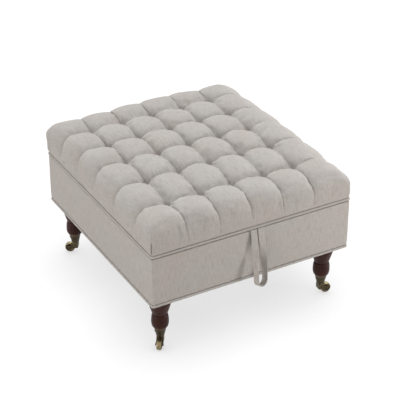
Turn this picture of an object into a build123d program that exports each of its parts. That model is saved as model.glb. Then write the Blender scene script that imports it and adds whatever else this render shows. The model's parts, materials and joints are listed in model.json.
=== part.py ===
from build123d import *
import math
import os

# Storage ottoman with a tufted hinged lid, a plain upholstered box and turned legs on castors.
# Millimetres. X runs to the right along the front, Y to the back, Z up from the floor.

# Overall sizes
width = 650.0
depth = 685.0
floor_to_box = 178.0
box_height = 158.5
cushion_rise = 120.0

# Carcass
panel_thickness = 15.0
base_board_thickness = 12.0
base_board_recess = 2.0
lid_board_thickness = 15.0
corner_block_leg = 30.0
corner_block_drop = 8.0

# Cloth and wadding
cover_thickness = 6.0
cover_return = 1.5
cover_corner_radius = 5.0
lining_thickness = 1.5
lining_drop = 6.0
dust_cover_thickness = 1.0
dust_cover_inset = 16.0
dust_cover_leg_gap = 1.0
lid_lining_thickness = 1.2
lid_lining_inset = 32.0
piping_diameter = 8.0
piping_proud = 2.0
piping_corner_radius = 9.0

# Tufted cushion
tuft_count = 5
tuft_pitch_x = 103.0
tuft_pitch_y = 122.5
channel_depth_x = 12.0
channel_depth_y = 12.0
crown_x = 4.0
crown_y = 10.0
shoulder_radius = 34.0
border_dip = 2.0
pocket_radius = 8.5
pocket_depth = 14.0
button_radius = 8.0
button_edge = 2.5
button_dome = 3.0
button_clearance = 0.3
twine_radius = 1.0
twine_clearance = 0.3
knot_radius = 4.0
knot_thickness = 1.5
knot_clearance = 0.4

# Lid pads
bumper_radius = 6.0
bumper_gap = 0.3
bumper_corner_distance = 60.0

# Hinges
hinge_spacing = 380.0
hinge_length = 70.0
knuckle_count = 5
knuckle_radius = 4.0
knuckle_end_gap = 0.2
knuckle_face_gap = 1.0
knuckle_notch = 0.4
leaf_thickness = 1.4
leaf_gap = 0.2
hinge_pin_radius = 2.0
hinge_running_clearance = 0.05
leaf_screw_count = 3
leaf_screw_spacing = 24.0
leaf_screw_length = 16.0
screw_shank_radius = 1.5
screw_head_radius = 2.6
screw_head_depth = 1.1
screw_clearance = 0.05

# Pull strap
strap_offset = 8.0
strap_width = 20.0
strap_thickness = 2.0
strap_spacing = 23.0
strap_length = 180.0
strap_twist = 90.0
strap_twist_length = 125.0
strap_lean = 9.0
strap_root_proud = 3.5
strap_bead_radius = 1.2
strap_tab_gap = 0.4
strap_tab_reach = 28.0
strap_twist_steps = 3
staple_length = 10.0
staple_width = 1.2
staple_thickness = 0.6
staple_inset = 9.0

# Legs
leg_inset_x = 51.0
leg_inset_y = 55.0
leg_top_radius = 36.0
leg_top_height = 25.0
leg_cove_radius = 27.5
leg_neck_radius = 21.0
leg_neck_height = 113.5
leg_cove_height = 133.0
leg_bulb_radius = 25.5
leg_bulb_height = 90.0
leg_toe_radius = 18.6
leg_bolt_radius = 4.0
leg_bolt_depth = 35.0
leg_nut_radius = 5.5
leg_nut_flange_radius = 11.0
leg_nut_flange = 1.5
fastener_clearance = 0.1

# Castors
wheel_diameter = 32.0
wheel_width = 14.0
wheel_edge_drop = 0.8
wheel_rim = 3.6
wheel_dish = 2.0
wheel_hub_radius = 5.5
wheel_hub_proud = 0.2
castor_trail = 17.5
cup_bottom_height = 37.0
cup_height = 32.0
cup_top_radius = 19.0
cup_bottom_radius = 11.6
cup_wall = 1.8
cup_floor = 3.0
cup_clearance = 0.1
cup_screw_height = 21.0
cup_screw_radius = 1.4
cup_screw_head_radius = 2.6
cup_screw_head = 1.0
cup_screw_seat = 0.3
cup_screw_depth = 9.0
swivel_pin_radius = 3.0
swivel_head_radius = 4.3
swivel_head = 1.2
swivel_running_clearance = 0.05
swivel_gap = 0.4
boss_height = 8.0
horn_back = 9.5
horn_front = 6.0
horn_throat = 8.0
horn_throat_height = 27.5
horn_heel_height = 17.0
horn_corner_radius = 5.0
cheek_thickness = 3.0
cheek_gap = 0.5
cheek_end_radius = 6.5
wheel_clearance = 1.2
axle_radius = 2.5
axle_head_radius = 4.2
axle_head = 1.5
axle_running_clearance = 0.05
axle_fit_clearance = 0.02

# Corners of the ottoman: side of X, side of Y, and where each castor trails, in degrees from +X
corners = {
    "front_left": (-1, -1, -127.0),
    "front_right": (1, -1, -5.0),
    "back_left": (-1, 1, 144.0),
    "back_right": (1, 1, 40.0),
}

# Heights and half sizes that follow from the sizes above
half_width = width / 2
half_depth = depth / 2
piping_radius = piping_diameter / 2
base_board_bottom = floor_to_box + base_board_recess
base_board_top = base_board_bottom + base_board_thickness
cover_bottom = floor_to_box + piping_diameter
box_top = floor_to_box + box_height
panel_top = box_top - cover_return
lid_gap = 2 * leaf_thickness + leaf_gap
lid_bottom = box_top + lid_gap
lid_board_top = lid_bottom + lid_board_thickness
lid_seam = lid_bottom + piping_diameter
cushion_top = lid_seam + cushion_rise
board_width = width - 2 * cover_thickness
board_depth = depth - 2 * cover_thickness
board_corner_radius = piping_corner_radius - piping_radius
inner_width = board_width - 2 * panel_thickness
inner_depth = board_depth - 2 * panel_thickness
wall_inset = cover_thickness + panel_thickness
hinge_y = half_depth + knuckle_face_gap + knuckle_radius
hinge_z = box_top + lid_gap / 2
leg_x = half_width - leg_inset_x
leg_y = half_depth - leg_inset_y
cup_top = cup_bottom_height + cup_height
leg_spots = [(sx * leg_x, sy * leg_y) for sx, sy, trail in corners.values()]
hinge_centres = [-hinge_spacing / 2, hinge_spacing / 2]
screw_steps = [
    (i - (leaf_screw_count - 1) / 2) * leaf_screw_spacing for i in range(leaf_screw_count)
]
leaf_screw_y = half_depth - wall_inset + panel_thickness / 2
leaf_screw_spots = [(c + s, leaf_screw_y) for c in hinge_centres for s in screw_steps]

# Tuft grid: the dimples' lines, and the heights of the channels and crowns between them
tuft_lines_x = [(i - (tuft_count - 1) / 2) * tuft_pitch_x for i in range(tuft_count)]
tuft_lines_y = [(i - (tuft_count - 1) / 2) * tuft_pitch_y for i in range(tuft_count)]


def crown_drop_x(x):
    """Drop of the cushion's crown at x, measured from its middle."""
    return crown_x * (x / tuft_lines_x[-1]) ** 2


def crown_drop_y(y):
    """Drop of the cushion's crown at y, measured from its middle."""
    return crown_y * (y / tuft_lines_y[-1]) ** 2


def dimple_height(x, y):
    """Height of the cushion's surface at a dimple."""
    return cushion_top - channel_depth_x - channel_depth_y - crown_drop_x(x) - crown_drop_y(y)


tuft_spots = [(x, y, dimple_height(x, y)) for x in tuft_lines_x for y in tuft_lines_y]


def keep(builder, name):
    """Labels a finished piece and writes its file."""
    builder.part.label = name
    export_step(builder.part, f"parts/{name}.step")


# Plywood floor of the box, with seats for the leg nuts
with BuildPart() as base_board:
    with BuildSketch(Plane.XY.offset(base_board_bottom)):
        RectangleRounded(board_width, board_depth, board_corner_radius)
    extrude(amount=base_board_thickness)
    with BuildSketch(Plane.XY.offset(base_board_bottom)):
        with Locations(*leg_spots):
            Circle(leg_nut_radius + fastener_clearance)
    extrude(amount=base_board_thickness, mode=Mode.SUBTRACT)
    with BuildSketch(Plane.XY.offset(base_board_top)):
        with Locations(*leg_spots):
            Circle(leg_nut_flange_radius + fastener_clearance)
    extrude(amount=-leg_nut_flange, mode=Mode.SUBTRACT)
keep(base_board, "base_board")

# Front and back walls run the full width; the back one takes the hinge screws in its top edge
for name, side in (("front_panel", -1), ("back_panel", 1)):
    with BuildPart() as long_panel:
        with BuildSketch(Plane.XY.offset(base_board_top)):
            with Locations((0, side * (half_depth - cover_thickness - panel_thickness / 2))):
                Rectangle(board_width, panel_thickness)
        extrude(amount=panel_top - base_board_top)
        if side > 0:
            with BuildSketch(Plane.XY.offset(panel_top)):
                with Locations(*leaf_screw_spots):
                    Circle(screw_shank_radius + screw_clearance)
            extrude(amount=-leaf_screw_length, mode=Mode.SUBTRACT)
    keep(long_panel, name)

# Side walls stand between the front and back walls
for name, side in (("left_panel", -1), ("right_panel", 1)):
    with BuildPart() as side_panel:
        with BuildSketch(Plane.XY.offset(base_board_top)):
            with Locations((side * (half_width - cover_thickness - panel_thickness / 2), 0)):
                Rectangle(panel_thickness, inner_depth)
        extrude(amount=panel_top - base_board_top)
    keep(side_panel, name)

# Triangular glue blocks in the four inner corners
with BuildPart() as corner_blocks:
    for sx, sy, trail in corners.values():
        corner_x = sx * inner_width / 2
        corner_y = sy * inner_depth / 2
        with BuildSketch(Plane.XY.offset(base_board_top)):
            with BuildLine():
                Polyline(
                    (corner_x, corner_y),
                    (corner_x - sx * corner_block_leg, corner_y),
                    (corner_x, corner_y - sy * corner_block_leg),
                    close=True,
                )
            make_face()
        extrude(amount=panel_top - corner_block_drop - base_board_top)
keep(corner_blocks, "corner_blocks")

# Cloth lining: a thin open box that follows the walls, the corner blocks and the floor
with BuildPart() as storage_lining:
    lining_height = panel_top - lining_drop - corner_block_drop - base_board_top
    with BuildSketch(Plane.XY.offset(base_board_top)) as lining_outline:
        Rectangle(inner_width, inner_depth)
        chamfer(lining_outline.vertices(), corner_block_leg)
    extrude(amount=lining_height)
    with BuildSketch(Plane.XY.offset(base_board_top + lining_thickness)):
        offset(lining_outline.sketch, -lining_thickness)
    extrude(amount=lining_height, mode=Mode.SUBTRACT)
keep(storage_lining, "storage_lining")

# Wadded linen on the front and back: a slab on the face and a thin return over the wall's top edge
for name, side in (("front_cover", -1), ("back_cover", 1)):
    with BuildPart() as long_cover:
        with BuildSketch(Plane.XY.offset(cover_bottom)):
            with Locations((0, side * (half_depth - cover_thickness / 2))):
                Rectangle(width, cover_thickness)
        extrude(amount=panel_top - cover_bottom)
        fillet(
            long_cover.edges().filter_by(Axis.Z).group_by(Axis.Y)[0 if side < 0 else -1],
            cover_corner_radius,
        )
        with BuildSketch(Plane.XY.offset(panel_top)):
            with Locations((0, side * (half_depth - wall_inset / 2))):
                Rectangle(width - 2 * cover_corner_radius, wall_inset)
        extrude(amount=cover_return)
        if side > 0:
            with BuildSketch(Plane.XY.offset(panel_top)):
                with Locations(*leaf_screw_spots):
                    Circle(screw_shank_radius + screw_clearance)
            extrude(amount=cover_return, mode=Mode.SUBTRACT)
    keep(long_cover, name)

# Wadded linen on the sides, between the front and back covers
for name, side in (("left_cover", -1), ("right_cover", 1)):
    with BuildPart() as side_cover:
        with BuildSketch(Plane.XY.offset(cover_bottom)):
            with Locations((side * (half_width - cover_thickness / 2), 0)):
                Rectangle(cover_thickness, board_depth)
        extrude(amount=panel_top - cover_bottom)
        with BuildSketch(Plane.XY.offset(panel_top)):
            with Locations((side * (half_width - wall_inset / 2), 0)):
                Rectangle(wall_inset, inner_depth)
        extrude(amount=cover_return)
    keep(side_cover, name)

# Piped bands: a cord carried round the lower edge of the box and of the lid
piping_x = half_width + piping_proud - piping_radius
piping_y = half_depth + piping_proud - piping_radius
for name, lower_edge in (("base_piping", floor_to_box), ("lid_piping", lid_bottom)):
    with BuildPart() as piping:
        with BuildLine(Plane.XY.offset(lower_edge + piping_radius)) as piping_run:
            FilletPolyline(
                (piping_x, -piping_y),
                (piping_x, piping_y),
                (-piping_x, piping_y),
                (-piping_x, -piping_y),
                radius=piping_corner_radius,
                close=True,
            )
        with BuildSketch(Plane(origin=piping_run.line @ 0, z_dir=piping_run.line % 0)):
            Circle(piping_radius)
        sweep(path=piping_run.line)
    keep(piping, name)

# Thin cloth under the floor, cut away round the legs
with BuildPart() as dust_cover:
    with BuildSketch(Plane.XY.offset(base_board_bottom)):
        Rectangle(width - 2 * dust_cover_inset, depth - 2 * dust_cover_inset)
        with Locations(*leg_spots):
            Circle(leg_top_radius + dust_cover_leg_gap, mode=Mode.SUBTRACT)
    extrude(amount=-dust_cover_thickness)
keep(dust_cover, "dust_cover")

# Lid board, drilled for the twines, their knots and the hinge screws
with BuildPart() as lid_board:
    with BuildSketch(Plane.XY.offset(lid_bottom)):
        RectangleRounded(board_width, board_depth, board_corner_radius)
    extrude(amount=lid_board_thickness)
    with BuildSketch(Plane.XY.offset(lid_bottom)):
        with Locations(*[(x, y) for x, y, z in tuft_spots]):
            Circle(twine_radius + twine_clearance)
    extrude(amount=lid_board_thickness, mode=Mode.SUBTRACT)
    with BuildSketch(Plane.XY.offset(lid_bottom)):
        with Locations(*[(x, y) for x, y, z in tuft_spots]):
            Circle(knot_radius + knot_clearance)
    extrude(amount=knot_thickness + knot_clearance, mode=Mode.SUBTRACT)
    with BuildSketch(Plane.XY.offset(lid_bottom)):
        with Locations(*leaf_screw_spots):
            Circle(screw_shank_radius + screw_clearance)
    extrude(amount=leaf_screw_length - leaf_thickness - screw_head_depth, mode=Mode.SUBTRACT)
keep(lid_board, "lid_board")

# Cloth under the lid board
with BuildPart() as lid_lining:
    with BuildSketch(Plane.XY.offset(lid_bottom)):
        Rectangle(width - 2 * lid_lining_inset, depth - 2 * lid_lining_inset)
    extrude(amount=-lid_lining_thickness)
keep(lid_lining, "lid_lining")


def cushion_section(y, drop):
    """Upright slice of the cushion at y, with its whole top lowered by drop.

    The top is one arc from each dimple line to the next, and on each side a rising arc and a
    quarter-round shoulder.
    """
    top = cushion_top - drop
    channels = [(x, top - channel_depth_x - crown_drop_x(x)) for x in tuft_lines_x]
    border = top - crown_drop_x(tuft_lines_x[-1])
    shoulder_x = half_width - shoulder_radius
    rise_x = (tuft_lines_x[-1] + shoulder_x) / 2
    bend = shoulder_radius / math.sqrt(2)
    edge = border - border_dip - shoulder_radius
    with BuildSketch(Plane(origin=(0, y, 0), x_dir=(1, 0, 0), z_dir=(0, -1, 0))) as slice_face:
        with BuildLine():
            Polyline(
                (-half_width, edge), (-half_width, lid_seam), (half_width, lid_seam), (half_width, edge)
            )
            for start, end in zip(channels, channels[1:]):
                middle = (start[0] + end[0]) / 2
                ThreePointArc(start, (middle, top - crown_drop_x(middle)), end)
            for side, channel in ((-1, channels[0]), (1, channels[-1])):
                shoulder = (side * shoulder_x, border - border_dip)
                ThreePointArc(channel, (side * rise_x, border), shoulder)
                ThreePointArc(
                    shoulder,
                    (side * (shoulder_x + bend), edge + bend),
                    (side * half_width, edge),
                )
        make_face()
    return slice_face.sketch


# Tufted cushion: rows of puffs lofted from front to back, joined at the dimple lines
puff_steps = (0.0, 0.25, 0.5, 0.75, 1.0)
rise_steps = (0.0, 0.5, 1.0)
shoulder_angles = (0.0, 30.0, 60.0, 90.0)
shoulder_y = half_depth - shoulder_radius
outer_line = tuft_lines_y[-1]
crest_y = (outer_line + shoulder_y) / 2
border_crown = crown_drop_y(outer_line)
cushion_rows = []
for front, back in zip(tuft_lines_y, tuft_lines_y[1:]):
    row = []
    for step in puff_steps:
        y = front + step * (back - front)
        row.append((y, crown_drop_y(y) + channel_depth_y * (2 * step - 1) ** 2))
    cushion_rows.append(row)
for side in (-1, 1):
    rise = [
        (
            side * (outer_line + step * (crest_y - outer_line)),
            border_crown + channel_depth_y * (1 - step) ** 2,
        )
        for step in rise_steps
    ]
    rise.append((side * shoulder_y, border_crown + border_dip))
    turn = [
        (
            side * (shoulder_y + shoulder_radius * math.sin(math.radians(angle))),
            border_crown + border_dip + shoulder_radius * (1 - math.cos(math.radians(angle))),
        )
        for angle in shoulder_angles
    ]
    cushion_rows += [rise, turn]

with BuildPart() as lid_cushion:
    for row in cushion_rows:
        loft(sections=[cushion_section(y, drop) for y, drop in row])
    with BuildSketch(Plane.XY.offset(lid_seam)):
        Rectangle(board_width, board_depth)
    extrude(amount=lid_board_top - lid_seam, mode=Mode.SUBTRACT)
    for x, y, z in tuft_spots:
        with BuildSketch(Plane.XY.offset(z - pocket_depth)):
            with Locations((x, y)):
                Circle(pocket_radius)
        extrude(amount=pocket_depth + channel_depth_x + channel_depth_y, mode=Mode.SUBTRACT)
        with BuildSketch(Plane.XY.offset(lid_board_top)):
            with Locations((x, y)):
                Circle(twine_radius + twine_clearance)
        extrude(amount=z - pocket_depth - lid_board_top, mode=Mode.SUBTRACT)
keep(lid_cushion, "lid_cushion")

# Self-covered buttons, each a low dome at the bottom of its dimple
button_sphere = (button_radius**2 + button_dome**2) / (2 * button_dome)
with BuildPart() as tuft_buttons:
    for x, y, z in tuft_spots:
        seat = z - pocket_depth + button_clearance
        with BuildSketch(Plane(origin=(x, y, seat), x_dir=(1, 0, 0), z_dir=(0, -1, 0))):
            with BuildLine():
                Polyline(
                    (0, button_edge + button_dome),
                    (0, 0),
                    (button_radius, 0),
                    (button_radius, button_edge),
                )
                RadiusArc(
                    (button_radius, button_edge), (0, button_edge + button_dome), -button_sphere
                )
            make_face()
        revolve(axis=Axis((x, y, seat), (0, 0, 1)))
keep(tuft_buttons, "tuft_buttons")

# Twines from the buttons down through the board, each ending in a flat knot
with BuildPart() as tuft_twines:
    for x, y, z in tuft_spots:
        with BuildSketch(Plane.XY.offset(lid_bottom + knot_clearance)):
            with Locations((x, y)):
                Circle(knot_radius)
        extrude(amount=knot_thickness)
        with BuildSketch(Plane.XY.offset(lid_bottom + knot_clearance)):
            with Locations((x, y)):
                Circle(twine_radius)
        extrude(amount=z - pocket_depth + button_clearance - lid_bottom - knot_clearance)
keep(tuft_twines, "tuft_twines")

# Rubber pads under the lid, over the side walls
bumper_x = half_width - wall_inset + panel_thickness / 2
bumper_y = half_depth - bumper_corner_distance
with BuildPart() as lid_bumpers:
    with BuildSketch(Plane.XY.offset(lid_bottom)):
        with GridLocations(2 * bumper_x, 2 * bumper_y, 2, 2):
            Circle(bumper_radius)
    extrude(amount=bumper_gap - lid_gap)
keep(lid_bumpers, "lid_bumpers")

# Butt hinges: the leaf under the lid and the leaf on the box share the knuckles in turn
knuckle_length = hinge_length / knuckle_count
leaf_front = half_depth - wall_inset
leaf_back = hinge_y - knuckle_radius - knuckle_notch
leaf_sides = (
    ("hinge_base_leaves", 0, box_top, 1),
    ("hinge_lid_leaves", 1, lid_bottom, -1),
)
for name, first_knuckle, seat, facing in leaf_sides:
    with BuildPart() as leaves:
        for centre in hinge_centres:
            with BuildSketch(Plane.XY.offset(seat)):
                with Locations((centre, (leaf_front + leaf_back) / 2)):
                    Rectangle(hinge_length, leaf_back - leaf_front)
            extrude(amount=facing * leaf_thickness)
            for index in range(first_knuckle, knuckle_count, 2):
                knuckle_x = centre + (index - (knuckle_count - 1) / 2) * knuckle_length
                barrel = knuckle_length - 2 * knuckle_end_gap
                with BuildSketch(Plane.XY.offset(seat)):
                    with Locations((knuckle_x, (leaf_back + hinge_y) / 2)):
                        Rectangle(barrel, hinge_y - leaf_back)
                extrude(amount=facing * leaf_thickness)
                with BuildSketch(Plane.YZ.offset(knuckle_x)):
                    with Locations((hinge_y, hinge_z)):
                        Circle(knuckle_radius)
                extrude(amount=barrel / 2, both=True)
            with BuildSketch(Plane.YZ.offset(centre)):
                with Locations((hinge_y, hinge_z)):
                    Circle(hinge_pin_radius + hinge_running_clearance)
            extrude(amount=hinge_length / 2, both=True, mode=Mode.SUBTRACT)
        for x, y in leaf_screw_spots:
            screw_face = Plane((x, y, seat + facing * leaf_thickness), (1, 0, 0), (0, 0, facing))
            with BuildSketch(screw_face):
                Circle(screw_head_radius + screw_clearance)
            with BuildSketch(screw_face.offset(-screw_head_depth)):
                Circle(screw_shank_radius + screw_clearance)
            loft(mode=Mode.SUBTRACT)
            with BuildSketch(screw_face):
                Circle(screw_shank_radius + screw_clearance)
            extrude(amount=-leaf_thickness, mode=Mode.SUBTRACT)
    keep(leaves, name)

# Hinge pins
with BuildPart() as hinge_pins:
    for centre in hinge_centres:
        with BuildSketch(Plane.YZ.offset(centre)):
            with Locations((hinge_y, hinge_z)):
                Circle(hinge_pin_radius)
        extrude(amount=hinge_length / 2 - knuckle_end_gap, both=True)
keep(hinge_pins, "hinge_pins")

# Countersunk screws of the hinge leaves
screw_sets = (("hinge_base_screws", box_top, 1), ("hinge_lid_screws", lid_bottom, -1))
for name, seat, facing in screw_sets:
    with BuildPart() as screws:
        for x, y in leaf_screw_spots:
            head = Plane((x, y, seat + facing * leaf_thickness), (1, 0, 0), (0, 0, facing))
            with BuildSketch(head):
                Circle(screw_head_radius)
            with BuildSketch(head.offset(-screw_head_depth)):
                Circle(screw_shank_radius)
            loft()
            with BuildSketch(head.offset(-screw_head_depth)):
                Circle(screw_shank_radius)
            extrude(amount=screw_head_depth + leaf_thickness - leaf_screw_length)
    keep(screws, name)

# Pull strap: a flat ribbon loop whose two strands lie flat under the lid and turn side-on lower down
strap_root_y = -half_depth - strap_root_proud
strap_root = Vector(strap_offset, strap_root_y, hinge_z)
lean = math.radians(strap_lean)
strap_down = Vector(0, -math.sin(lean), -math.cos(lean))
strap_out = Vector(0, -math.cos(lean), math.sin(lean))
loop_radius = strap_spacing / 2
loop_drop = strap_length - loop_radius - strap_thickness / 2
with BuildPart() as pull_strap:
    for side in (-1, 1):
        top = strap_root + Vector(side * strap_spacing / 2, 0, 0)
        for step in range(strap_twist_steps + 1):
            turn = side * math.radians(strap_twist) * step / strap_twist_steps
            across = Vector(math.cos(turn), 0, 0) - strap_out * math.sin(turn)
            centre = top + strap_down * (strap_twist_length * step / strap_twist_steps)
            with BuildSketch(Plane(origin=centre, x_dir=across, z_dir=strap_down)):
                Rectangle(strap_width, strap_thickness)
        loft(ruled=True)
        with BuildSketch(Plane.YZ.offset(top.X)):
            with Locations((top.Y, top.Z)):
                Circle(strap_bead_radius)
        extrude(amount=strap_width / 2, both=True)
        with BuildSketch(Plane(origin=centre, x_dir=(1, 0, 0), z_dir=strap_down)):
            Rectangle(strap_thickness, strap_width)
        extrude(amount=loop_drop - strap_twist_length)
    loop_plane = Plane(origin=strap_root + strap_down * loop_drop, x_dir=(1, 0, 0), z_dir=strap_out)
    with BuildSketch(loop_plane):
        with BuildLine():
            for radius in (loop_radius - strap_thickness / 2, loop_radius + strap_thickness / 2):
                ThreePointArc((-radius, 0), (0, -radius), (radius, 0))
            for side in (-1, 1):
                Line(
                    (side * (loop_radius - strap_thickness / 2), 0),
                    (side * (loop_radius + strap_thickness / 2), 0),
                )
        make_face()
    extrude(amount=strap_width / 2, both=True)
keep(pull_strap, "pull_strap")

# Flat ends of the strap, held against the underside of the lid board by staples
tab_front = strap_root_y + strap_bead_radius + strap_tab_gap
tab_back = -half_depth + strap_tab_reach
tab_centres = [strap_offset - strap_spacing / 2, strap_offset + strap_spacing / 2]
with BuildPart() as strap_tabs:
    with BuildSketch(Plane.XY.offset(lid_bottom)):
        for x in tab_centres:
            with Locations((x, (tab_front + tab_back) / 2)):
                Rectangle(strap_width, tab_back - tab_front)
    extrude(amount=-strap_thickness)
keep(strap_tabs, "strap_tabs")

# Staple crowns under the strap's ends
with BuildPart() as strap_staples:
    with BuildSketch(Plane.XY.offset(lid_bottom - strap_thickness)):
        for x in tab_centres:
            with Locations((x, tab_back - staple_inset)):
                Rectangle(staple_length, staple_width)
    extrude(amount=-staple_thickness)
keep(strap_staples, "strap_staples")

# Leg nuts: a flanged barrel let into the floor from above
with BuildPart() as leg_nuts:
    with BuildSketch(Plane.XY.offset(base_board_bottom)):
        with Locations(*leg_spots):
            Circle(leg_nut_radius)
    extrude(amount=base_board_thickness - leg_nut_flange)
    with BuildSketch(Plane.XY.offset(base_board_top - leg_nut_flange)):
        with Locations(*leg_spots):
            Circle(leg_nut_flange_radius)
    extrude(amount=leg_nut_flange)
    with BuildSketch(Plane.XY.offset(base_board_bottom)):
        with Locations(*leg_spots):
            Circle(leg_bolt_radius + fastener_clearance)
    extrude(amount=base_board_thickness, mode=Mode.SUBTRACT)
keep(leg_nuts, "leg_nuts")

# Bolts from the legs into those nuts
with BuildPart() as leg_bolts:
    with BuildSketch(Plane.XY.offset(base_board_bottom - leg_bolt_depth)):
        with Locations(*leg_spots):
            Circle(leg_bolt_radius)
    extrude(amount=leg_bolt_depth + base_board_thickness)
keep(leg_bolts, "leg_bolts")

# Castor sizes that follow from the sizes above
wheel_radius = wheel_diameter / 2
boss_top = cup_bottom_height - swivel_gap
boss_bottom = boss_top - boss_height
cheek_inner = wheel_width / 2 + cheek_gap
cheek_outer = cheek_inner + cheek_thickness
cup_cavity_floor = cup_bottom_height + cup_floor
pin_top = cup_cavity_floor + swivel_head
spigot_bottom = pin_top + swivel_gap
cup_slope = (cup_top_radius - cup_bottom_radius) / cup_height
cup_screw_z = cup_bottom_height + cup_screw_height
cup_screw_face = cup_bottom_radius + cup_slope * cup_screw_height - cup_screw_seat
cup_screw_reach = cup_screw_face - cup_screw_depth
cavity_top_radius = cup_top_radius - cup_wall
cavity_floor_radius = cup_bottom_radius + cup_slope * cup_floor - cup_wall
spigot_toe_radius = (
    cavity_floor_radius + (spigot_bottom - cup_cavity_floor) * cup_slope - cup_clearance
)

for corner, (sx, sy, trail) in corners.items():
    axis_x = sx * leg_x
    axis_y = sy * leg_y
    upright = Axis((axis_x, axis_y, 0), (0, 0, 1))
    leg_slice = Plane(origin=(axis_x, axis_y, 0), x_dir=(1, 0, 0), z_dir=(0, -1, 0))
    out = Vector(math.cos(math.radians(trail)), math.sin(math.radians(trail)), 0)
    sideways = Vector(-out.Y, out.X, 0)
    horn_side = Plane(origin=(axis_x, axis_y, 0), x_dir=out, z_dir=-sideways)
    wheel_centre = Vector(axis_x, axis_y, wheel_radius) + out * castor_trail
    axle = Axis(wheel_centre, sideways)
    wheel_slice = Plane(origin=wheel_centre, x_dir=sideways, z_dir=out)
    screw_planes = [
        Plane(origin=(axis_x, axis_y, cup_screw_z), x_dir=(0, 1, 0), z_dir=(way, 0, 0))
        for way in (-1, 1)
    ]

    # Turned leg: a round block, a cove to the neck, a bulb, and a tapered toe that fits the cup
    with BuildPart() as leg:
        with BuildSketch(leg_slice):
            with BuildLine():
                block_foot = base_board_bottom - leg_top_height
                Polyline(
                    (leg_toe_radius, cup_top),
                    (cavity_top_radius - cup_clearance, cup_top),
                    (spigot_toe_radius, spigot_bottom),
                    (0, spigot_bottom),
                    (0, base_board_bottom),
                    (leg_top_radius, base_board_bottom),
                    (leg_top_radius, block_foot),
                )
                ThreePointArc(
                    (leg_top_radius, block_foot),
                    (leg_cove_radius, leg_cove_height),
                    (leg_neck_radius, leg_neck_height),
                )
                ThreePointArc(
                    (leg_neck_radius, leg_neck_height),
                    (leg_bulb_radius, leg_bulb_height),
                    (leg_toe_radius, cup_top),
                )
            make_face()
        revolve(axis=upright)
        with BuildSketch(Plane.XY.offset(base_board_bottom)):
            with Locations((axis_x, axis_y)):
                Circle(leg_bolt_radius + fastener_clearance)
        extrude(amount=-leg_bolt_depth - fastener_clearance, mode=Mode.SUBTRACT)
        for screw_plane in screw_planes:
            with BuildSketch(screw_plane.offset(cup_screw_reach - fastener_clearance)):
                Circle(cup_screw_radius + fastener_clearance)
            extrude(amount=cup_screw_depth, mode=Mode.SUBTRACT)
    keep(leg, f"leg_{corner}")

    # Tapered brass cup with a floor for the swivel pin
    with BuildPart() as cup:
        with BuildSketch(leg_slice):
            with BuildLine():
                Polyline(
                    (swivel_pin_radius + fastener_clearance, cup_bottom_height),
                    (cup_bottom_radius, cup_bottom_height),
                    (cup_top_radius, cup_top),
                    (cavity_top_radius, cup_top),
                    (cavity_floor_radius, cup_cavity_floor),
                    (swivel_pin_radius + fastener_clearance, cup_cavity_floor),
                    close=True,
                )
            make_face()
        revolve(axis=upright)
        for screw_plane in screw_planes:
            with BuildSketch(screw_plane):
                Circle(cup_screw_radius + fastener_clearance)
            extrude(amount=cup_top_radius, mode=Mode.SUBTRACT)
            with BuildSketch(screw_plane.offset(cup_screw_face)):
                Circle(cup_screw_head_radius + fastener_clearance)
            extrude(amount=cup_top_radius, mode=Mode.SUBTRACT)
    keep(cup, f"castor_cup_{corner}")

    # Fork that swivels under the cup: a side outline with a round end at the axle, hollowed for the wheel
    with BuildPart() as horn:
        axle_spot = (castor_trail, wheel_radius)
        with BuildSketch(horn_side):
            with BuildLine():
                Polyline(
                    (castor_trail, wheel_radius + cheek_end_radius),
                    (horn_throat, horn_throat_height),
                    (horn_front, boss_top),
                    (-horn_back, boss_top),
                    (-horn_back, horn_heel_height),
                    (castor_trail, wheel_radius - cheek_end_radius),
                )
                ThreePointArc(
                    (castor_trail, wheel_radius - cheek_end_radius),
                    (castor_trail + cheek_end_radius, wheel_radius),
                    (castor_trail, wheel_radius + cheek_end_radius),
                )
            make_face()
        extrude(amount=cheek_outer, both=True)
        fillet(horn.edges().filter_by(Axis.Z).sort_by_distance(wheel_centre)[-2:], horn_corner_radius)
        with BuildSketch(horn_side):
            with Locations(axle_spot):
                Circle(wheel_radius + wheel_clearance)
        extrude(amount=cheek_inner, both=True, mode=Mode.SUBTRACT)
        with BuildSketch(horn_side):
            with Locations(axle_spot):
                Circle(axle_radius + axle_fit_clearance)
        extrude(amount=cheek_outer, both=True, mode=Mode.SUBTRACT)
        with BuildSketch(Plane.XY.offset(boss_top)):
            with Locations((axis_x, axis_y)):
                Circle(swivel_pin_radius + swivel_running_clearance)
        extrude(amount=-boss_height, mode=Mode.SUBTRACT)
        with BuildSketch(Plane.XY.offset(boss_bottom)):
            with Locations((axis_x, axis_y)):
                Circle(swivel_head_radius + swivel_gap)
        extrude(amount=-swivel_head - 2 * swivel_gap, mode=Mode.SUBTRACT)
    keep(horn, f"castor_horn_{corner}")

    # Riveted axle
    with BuildPart() as axle_pin:
        with BuildSketch(wheel_slice):
            with BuildLine():
                Polyline(
                    (-cheek_outer - axle_head, 0),
                    (-cheek_outer - axle_head, axle_head_radius - axle_head / 2),
                    (-cheek_outer - axle_head / 2, axle_head_radius),
                    (-cheek_outer, axle_head_radius),
                    (-cheek_outer, axle_radius),
                    (cheek_outer, axle_radius),
                    (cheek_outer, axle_head_radius),
                    (cheek_outer + axle_head / 2, axle_head_radius),
                    (cheek_outer + axle_head, axle_head_radius - axle_head / 2),
                    (cheek_outer + axle_head, 0),
                    close=True,
                )
            make_face()
        revolve(axis=axle)
    keep(axle_pin, f"castor_axle_{corner}")

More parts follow.
